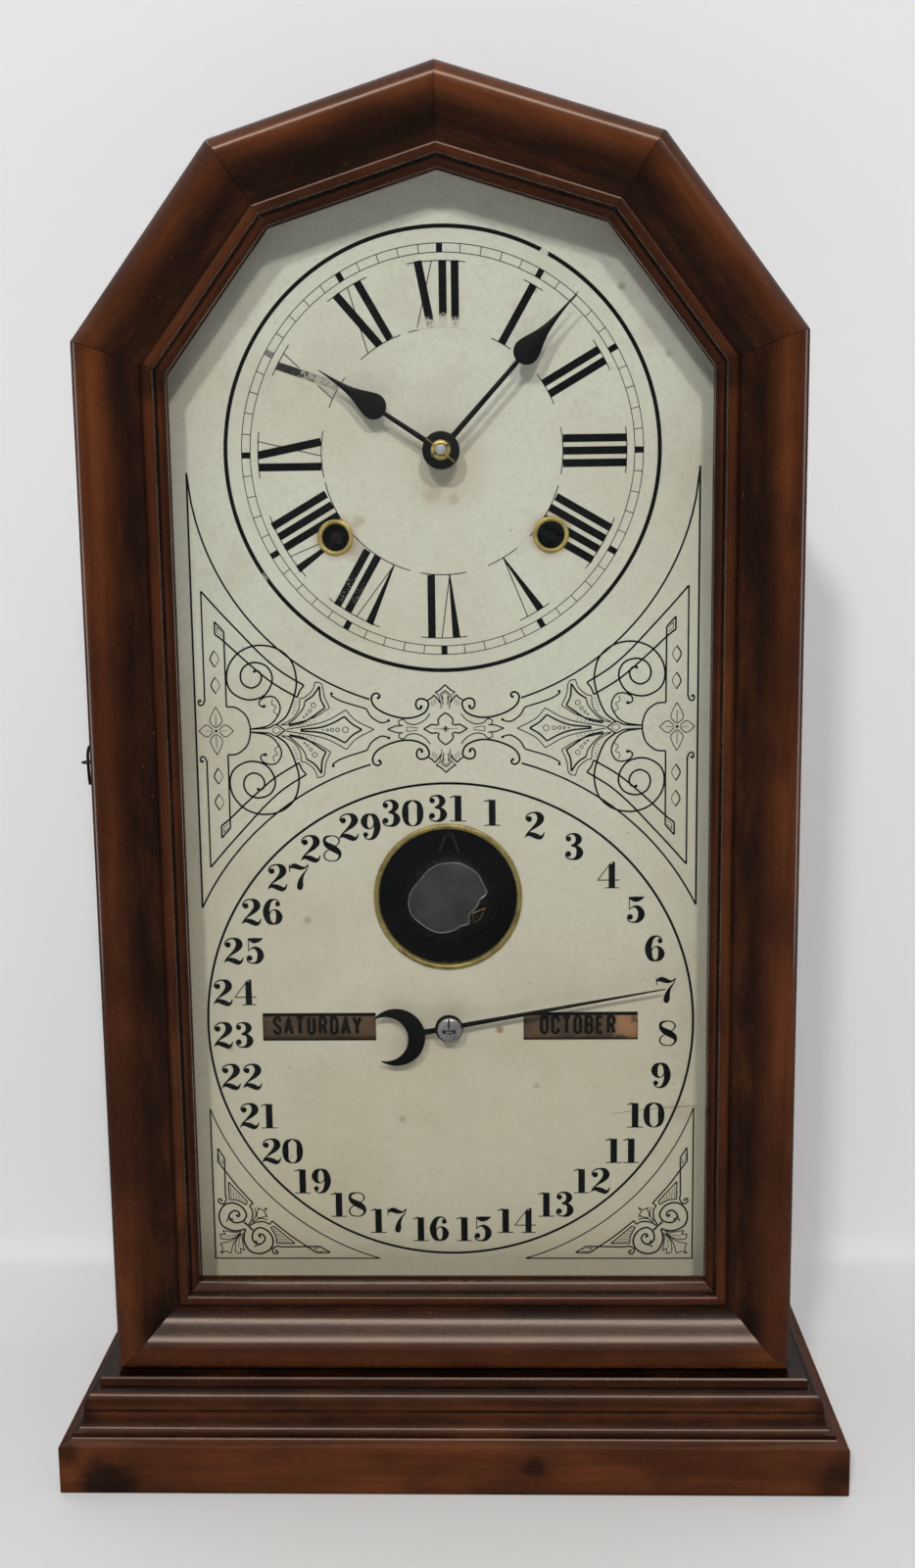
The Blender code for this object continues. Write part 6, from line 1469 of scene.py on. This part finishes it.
def build_date_hand():
    """A slender hand with a crescent as its tail."""
    front, back = DATE_HAND_Y, DATE_HAND_Y + HAND_THICKNESS
    way = polar((0, 0), DATE_HAND_ANGLE, 1)
    arm = [(3.0, 1.0), (10, 0.95), (20, 0.9), (40, 0.75), (60, 0.55), (75, 0.4), (DATE_HAND_LENGTH, 0.16)]
    tail = [(-CRESCENT_OFFSET + CRESCENT_RADIUS - 1.5, 1.3), (-8, 1.15), (-3, 1.1)]
    shapes = [blade(CALENDAR_CENTRE, DATE_HAND_ANGLE, stations, front) for stations in (arm, tail)]
    shapes.append(hub_ring(CALENDAR_CENTRE, 4.2, 1.5, front - 0.1, back + 0.2))
    moon = CALENDAR_CENTRE - way * CRESCENT_OFFSET
    hollow = moon - way * 4.6
    tip = polar(moon, DATE_HAND_ANGLE + CRESCENT_HORN, CRESCENT_RADIUS)
    inner_radius = (tip - hollow).length
    inner_horn = math.degrees((tip - hollow).angle(way))
    rings = []
    steps = 48
    for i in range(steps + 1):
        share = 2 * i / steps - 1
        outer = polar(moon, DATE_HAND_ANGLE + CRESCENT_HORN * share, CRESCENT_RADIUS)
        inner = polar(hollow, DATE_HAND_ANGLE + inner_horn * share, inner_radius - 0.15 * abs(share))
        edge = 0.25 * (1 - share**2)
        spots = [(outer, back), (outer, front + edge), (outer.lerp(inner, 0.15), front + edge * 0.2)]
        spots += [(outer.lerp(inner, 0.85), front + edge * 0.2), (inner, front + edge), (inner, back)]
        rings.append([(spot.x, y, spot.y) for spot, y in spots])
    shapes.append(loft(rings))
    fine_piece("date_hand", joined(shapes), "blued_steel", "date", "blued_steel")


# Brass and steel fittings
def build_set_rings():
    """The bezel of the pendulum window and the two winding grommets, with rolled faces."""
    rings = [("pendulum_bezel", "bezel_brass", WINDOW_CENTRE, WINDOW_RADIUS, BEZEL_RADIUS, 0.6, 128)]
    for side, spot in WINDING_CENTRES.items():
        rings.append(("winding_grommet_" + side, "aged_brass", spot, GROMMET_BORE, GROMMET_RADIUS, 0.5, 64))
    seat = DIAL_FRONT_Y - 0.02
    front = DIAL_FRONT_Y - 1.2
    for name, look, centre, bore, flange, sleeve, count in rings:
        half = (flange - bore) / 2
        profile = []
        for i in range(13):
            turn = math.pi * i / 12
            radius = bore + half - half * math.cos(turn)
            profile.append((radius, seat - (seat - front) * math.sin(turn) ** 0.8))
        profile += [(bore + sleeve, seat + 0.01), (bore + sleeve, seat + 1.8), (bore, seat + 1.8)]
        fine_piece(name, turned(profile, centre, count), look, "case", "brass")


def build_date_nut():
    """A domed nut with a slot above its middle and a black washer behind it; the slot is filled black as
    painted shade, and a dark cross bar with a bright strip on it is a painted reflection on the dome.
    """
    x, z = CALENDAR_CENTRE
    seat = DATE_HAND_Y - 0.4
    washer = hub_ring(CALENDAR_CENTRE, 5.75, 1.5, seat - 0.7, seat)
    new_piece("fine_date_washer", washer, "blued_steel", "date", "steel")
    front = seat - 0.7
    profile = [(0, front - 1.75), (1.6, front - 1.68), (3.0, front - 1.42), (4.1, front - 1.0)]
    profile += [(4.8, front - 0.5), (5.0, front - 0.2), (5.0, front + 0.02), (1.5, front + 0.02)]
    profile += [(1.5, front - 0.6), (0, front - 0.6)]
    nut = turned(profile, (x + 0.25, z - 0.35))
    slot = block((x - 0.32, front - 4, z + 0.4), (x + 0.32, front - 0.9, z + 8))
    lower_slot = block((x - 0.14, front - 4, z - 8), (x + 0.14, front - 1.2, z - 1.2))
    cuts = [slot, lower_slot]
    new_piece("fine_date_nut", nut, "bright_steel", "date", "steel", ("date_hand_nut",), cuts=cuts)
    # Painted shade filling the slot, and a painted reflection: a dark bar across the dome
    slot_shade = block((x - 0.3, front - 0.95, z + 0.5), (x + 0.3, front - 0.7, z + 4.4))
    bar = block((x - 2.6, front - 1.82, z - 1.4), (x + 2.6, front - 1.2, z - 0.1))
    new_piece("fine_date_nut_painted_shade_and_reflection", joined([slot_shade, bar]), "blued_steel", "date", "steel")
    # Painted reflection: a bright strip on the dark bar
    highlight_strip = block((x - 1.7, front - 2.0, z - 1.05), (x + 1.7, front - 1.75, z - 0.5))
    new_piece("fine_date_nut_painted_highlight", highlight_strip, "bright_steel", "date", "steel")


CRACK = ((66.4, 139.9), (75.0, 141.2), (85.4, 142.4), (95.0, 143.1), (103.0, 143.6))


def build_crack():
    """A fine brown crack across the paper by the date ring's right edge."""
    crack = Print("paper_crack")
    crack.stroke(smooth_path(CRACK, 3), [0.12, 0.2] + [0.3] * 10 + [0.16])
    crack.finish("dial_crack")


# Ragged outline of the foil on the bob, as (x, z) round the bob's middle, and of the chip in it
FOIL_OUTLINE = [
    (-2.6, 14.7), (3.2, 15.2), (7.2, 14.1), (12.5, 10.6), (15.1, 5.7), (16.5, 2.1), (13.6, -0.7),
    (12.2, -3.6), (9.9, -5.9), (9.0, -7.9), (9.0, -10.8), (5.2, -12.0), (2.6, -13.7), (-2.6, -14.9),
    (-7.2, -13.7), (-11.9, -10.5), (-14.8, -7.9), (-16.2, -4.8), (-16.4, -0.7), (-15.1, 3.4),
    (-11.9, 7.4), (-8.4, 11.5), (-5.5, 13.5),
]
FOIL_CHIP = [(10.6, -6.2), (15.8, -4.4), (13.6, -8.9), (11.0, -10.6)]
FOIL_SHIFT = Vector((-0.8, 1.0))


def bob_swell(share):
    """How full the bob is at a share of its radius: 1 in the middle and 0 at the rim."""
    return math.sqrt(max(0.0, 1 - share**2.4))


def bob_profile():
    """The bob's section as (radius, y), from its front round the rim to its back."""
    face, steps = BOB_RADIUS - BOB_RIM, 20
    shares = [i / steps for i in range(steps + 1)]
    depths = [BOB_RIM_HALF + (BOB_HALF - BOB_RIM_HALF) * bob_swell(share) for share in shares]
    profile = [(face * share, BOB_Y - depth) for share, depth in zip(shares, depths)]
    for i in range(7):
        turn = math.pi * i / 6
        profile.append((face + BOB_RIM * math.sin(turn), BOB_Y - BOB_RIM_HALF * math.cos(turn)))
    return profile + [(face * share, BOB_Y + depth) for share, depth in zip(shares[::-1], depths[::-1])]


def bob_front(spot):
    """The y of the bob's front face at a point (x, z) from its middle."""
    share = min(1.0, Vector(spot).length / (BOB_RADIUS - BOB_RIM))
    return BOB_Y - BOB_RIM_HALF - (BOB_HALF - BOB_RIM_HALF) * bob_swell(share)


def on_bob(point, lift):
    """A foil point (x, z) laid on the bob's dome, lifted off it by some mm."""
    spot = Vector(point) + FOIL_SHIFT
    return (BOB_CENTRE[0] + spot.x, bob_front(spot) - lift, BOB_CENTRE[1] + spot.y)


def foil_sheet(outline):
    """A thin sheet that lies on the bob's dome within an outline."""
    middle = sum((Vector(point) for point in outline), Vector((0, 0))) / len(outline)
    layers = 10
    front, back = [], []
    for k in range(layers, 0, -1):
        points = [middle.lerp(Vector(point), k / layers) for point in outline]
        front.append([on_bob(point, 0.16) for point in points])
        back.append([on_bob(point, 0.04) for point in points])
    return loft(front[::-1] + back)


def build_bob():
    """The blackened bob, a thin domed disc with the rest of its silver foil, and its wire loop."""
    bob = turned(bob_profile(), BOB_CENTRE)
    fine_piece("pendulum_bob", bob, "black_bob", "pendulum", "steel")
    loop_top, foot = BOB_CENTRE[1] + 28.1, BOB_CENTRE[1] + BOB_RADIUS * 0.82
    knots = [(-4.8, BOB_Y, foot - 2), (-4.2, BOB_Y, foot + 2.5), (-2.7, BOB_Y, loop_top - 4.2)]
    bend = [(x, BOB_Y, z) for x, z in arc((0.0, loop_top - 1.9), 1.9, 180, 0, 6)]
    knots += bend + [(-x, y, z) for x, y, z in reversed(knots)]
    new_piece("bob_loop", tube(smooth_path(knots, 4), 0.42), "old_steel", "pendulum", "steel")
    foil = smooth_path(FOIL_OUTLINE, 4, True)
    sheets = (
        # The foil's curled edge is brighter steel than the foil, a painted highlight along its rim
        ("bob_foil", foil, "bob_foil", "bright_steel", 0.25),
        ("bob_chip", FOIL_CHIP, "black_bob", "copper_wire", 0.18),
    )
    for name, outline, face, rim, wire in sheets:
        new_piece(name, foil_sheet(outline), face, "pendulum", "steel")
        curl = tube([on_bob(point, 0.2) for point in outline], wire, 8, closed=True)
        new_piece(name + "_edge", curl, rim, "pendulum", "steel")


def build_hook():
    """A wire hook with an eye round its screw on the case, and the screw eye on the door."""
    pivot_y = HOOK_EYE_Y + HOOK_REACH
    wire = 0.6
    eyelet = [(HOOK_X, y, z) for y, z in arc((pivot_y, HOOK_HEIGHT), 2.2, 0, 360, 28)[:-1]]
    hook = tube(eyelet, wire, closed=True)
    knots = [(HOOK_X, pivot_y - 2.2, HOOK_HEIGHT)]
    for share, rise in ((0.45, 1.74), (0.75, 5.104), (0.9, 5.8)):
        knots.append((HOOK_X, pivot_y - HOOK_REACH * share, HOOK_HEIGHT + rise))
    for drop in (-3.6, -1.0, 1.5, 4.0, 6.5, 8.9):
        knots.append((HOOK_X, pivot_y - math.sqrt(HOOK_REACH**2 - drop**2), HOOK_HEIGHT - drop))
    tube(smooth_path(knots, 5), wire, shape=hook)
    fine_piece("door_hook", hook, "blued_steel", "door_hook", "blued_steel")
    ring = [(x, y, HOOK_HEIGHT) for x, y in arc((HOOK_X, HOOK_EYE_Y), 2.1, 0, 360, 28)[:-1]]
    eye = tube(ring, 0.5, closed=True)
    stem = [(x, HOOK_EYE_Y, HOOK_HEIGHT) for x in (HOOK_X + 2.1, -DOOR_HALF_WIDTH + 3)]
    tube(stem, 0.55, shape=eye)
    fine_piece("hook_eye", eye, "dull_brass", "door", "brass")


# Room, light and camera
WALL_Y = 144.0
FLOOR_REACH = 2500.0
WALL_HEIGHT = 2600.0
WALL_BEND = 14.0
CAMERA_PLACE = Vector((0.0204, -0.5923, 0.3598))
CAMERA_YAW = -1.58
CAMERA_PITCH = 7.97
CAMERA_ROLL = 0.72
CAMERA_LENS = 22.08
SENSOR_HEIGHT = 24.0
LIGHT_TARGET = (0.0, 0.0, 0.28)
DOME_COLOUR = (0.97, 0.98, 1.0)


def build_room():
    """A pale floor that turns up into a wall behind the clock. The wall has no back: it is clear
    from behind and lets the dome's light through, so that the clock's back can be looked at.
    The floor goes on behind it."""
    profile = [(-FLOOR_REACH, 0.0)]
    profile += arc((WALL_Y - WALL_BEND, WALL_BEND), WALL_BEND, -90, 0, 8)
    profile.append((WALL_Y, WALL_HEIGHT))
    shape = bmesh.new()
    sides = (-FLOOR_REACH, FLOOR_REACH)
    rows = [[shape.verts.new((x * MM, y * MM, z * MM)) for y, z in profile] for x in sides]
    for i in range(len(profile) - 1):
        shape.faces.new((rows[0][i], rows[1][i], rows[1][i + 1], rows[0][i + 1]))
    corners = (
        (-FLOOR_REACH, WALL_Y),
        (FLOOR_REACH, WALL_Y),
        (FLOOR_REACH, FLOOR_REACH),
        (-FLOOR_REACH, FLOOR_REACH),
    )
    shape.faces.new([shape.verts.new((x * MM, y * MM, 0)) for x, y in corners])
    room = add_mesh("room", shape)
    room.data.shade_smooth()
    look = Look("room_paint", roughness=0.85)
    height = look.remap(look.split(look.place)[2], 0.0, 0.02)
    base = look.mix(height, (0.90, 0.90, 0.90), (0.90, 0.89, 0.91))
    cloudy = look.mix(0.06, base, (0.5, 0.5, 0.5))
    look.drive("Base Color", look.mix(look.noise(3.0), base, cloudy))
    behind = look.node("ShaderNodeNewGeometry").outputs["Backfacing"]
    clear = look.node("ShaderNodeBsdfTransparent").outputs["BSDF"]
    sockets = {0: behind, 1: look.shader.outputs["BSDF"], 2: clear}
    surface = look.node("ShaderNodeMixShader", sockets).outputs["Shader"]
    look.link(surface, look.tree.nodes["Material Output"].inputs["Surface"])
    room.data.materials.append(looks["room_paint"])
    room.visible_glossy = False
    room.visible_shadow = False


def add_area_light(name, place, size, power, colour, mirrored):
    """A lamp that either lights the room or is only mirrored in the surfaces."""
    data = bpy.data.lights.new(name, "AREA")
    data.shape = "RECTANGLE"
    data.size, data.size_y = size
    data.energy = power
    data.color = colour
    light = add_object(name, data)
    light.location = place
    light.rotation_euler = (Vector(place) - Vector(LIGHT_TARGET)).to_track_quat("Z", "Y").to_euler()
    light.visible_glossy = mirrored
    light.visible_diffuse = not mirrored


def lamp_place(azimuth, elevation, distance):
    """A place round the target: azimuth is clockwise from the front, seen from above, in degrees."""
    turn, lift = math.radians(azimuth), math.radians(elevation)
    way = Vector((-math.sin(turn) * math.cos(lift), -math.cos(turn) * math.cos(lift), math.sin(lift)))
    return Vector(LIGHT_TARGET) + way * distance


def build_lights():
    """Two lamps in front at the upper left and right light the clock and cast the shadows. A long
    soft box above and one either side are only mirrored, and draw the highlights. The dome is
    pale overhead and dim round the sides."""
    lamp = (0.14, 0.14)
    add_area_light("left_lamp", lamp_place(13, 32, 2.0), lamp, 12.4, (0.97, 1.0, 0.98), False)
    add_area_light("right_lamp", lamp_place(-10, 32, 2.0), lamp, 12.4, (1.0, 0.97, 0.94), False)
    add_area_light("long_softbox", (0.1, -1.25, 1.75), (2.0, 0.3), 15.0, (1.0, 0.84, 0.71), True)
    for x in (-1.6, 1.6):
        add_area_light("side_softbox", (x, 0.1, 0.45), (0.35, 1.3), 3.0, (0.95, 0.96, 1.0), True)
    world = bpy.data.worlds.new("soft_room")
    bpy.context.scene.world = world
    world.use_nodes = True
    dome = Nodes(world.node_tree)
    background = dome.tree.nodes["Background"]
    up = dome.split(dome.node("ShaderNodeTexCoord").outputs["Generated"])["Z"]
    dome.link(dome.remap(up, 0.15, 0.85, 0.07, 0.45), background.inputs["Strength"])
    dome.link(DOME_COLOUR, background.inputs["Color"])


def build_camera():
    """The photograph's camera, fitted to points on the case and the dial."""
    yaw, pitch, roll = (math.radians(angle) for angle in (CAMERA_YAW, CAMERA_PITCH, CAMERA_ROLL))
    forward = Vector((math.sin(yaw) * math.cos(pitch), math.cos(yaw) * math.cos(pitch), -math.sin(pitch)))
    level = Vector((math.cos(yaw), -math.sin(yaw), 0.0))
    below = forward.cross(level)
    right = level * math.cos(roll) + below * math.sin(roll)
    down = below * math.cos(roll) - level * math.sin(roll)
    data = bpy.data.cameras.new("photo_camera")
    data.sensor_fit = "VERTICAL"
    data.sensor_height = SENSOR_HEIGHT
    data.lens = CAMERA_LENS
    camera = add_object("photo_camera", data)
    axes = Matrix((right, -down, -forward)).transposed()
    camera.matrix_world = Matrix.Translation(CAMERA_PLACE) @ axes.to_4x4()
    bpy.context.scene.camera = camera


make_looks()
dress_cad_nodes()
build_door_frame()
build_base()
build_rings()
build_roman_numerals()
build_date_numbers()
build_spandrels()
build_corner_ornaments()
build_roller("weekday_roller", -1, WEEKDAY_Y, WEEKDAY_RADIUS, "weekday", WEEKDAYS, 4.75)
build_roller("month_roller", 1, MONTH_Y, MONTH_RADIUS, "month", MONTHS, 4.6)
build_hands()
build_date_hand()
build_set_rings()
build_date_nut()
build_hand_pin()
build_crack()
build_bob()
build_hook()
build_room()
build_lights()
build_camera()
bpy.context.scene.view_settings.view_transform = "Standard"
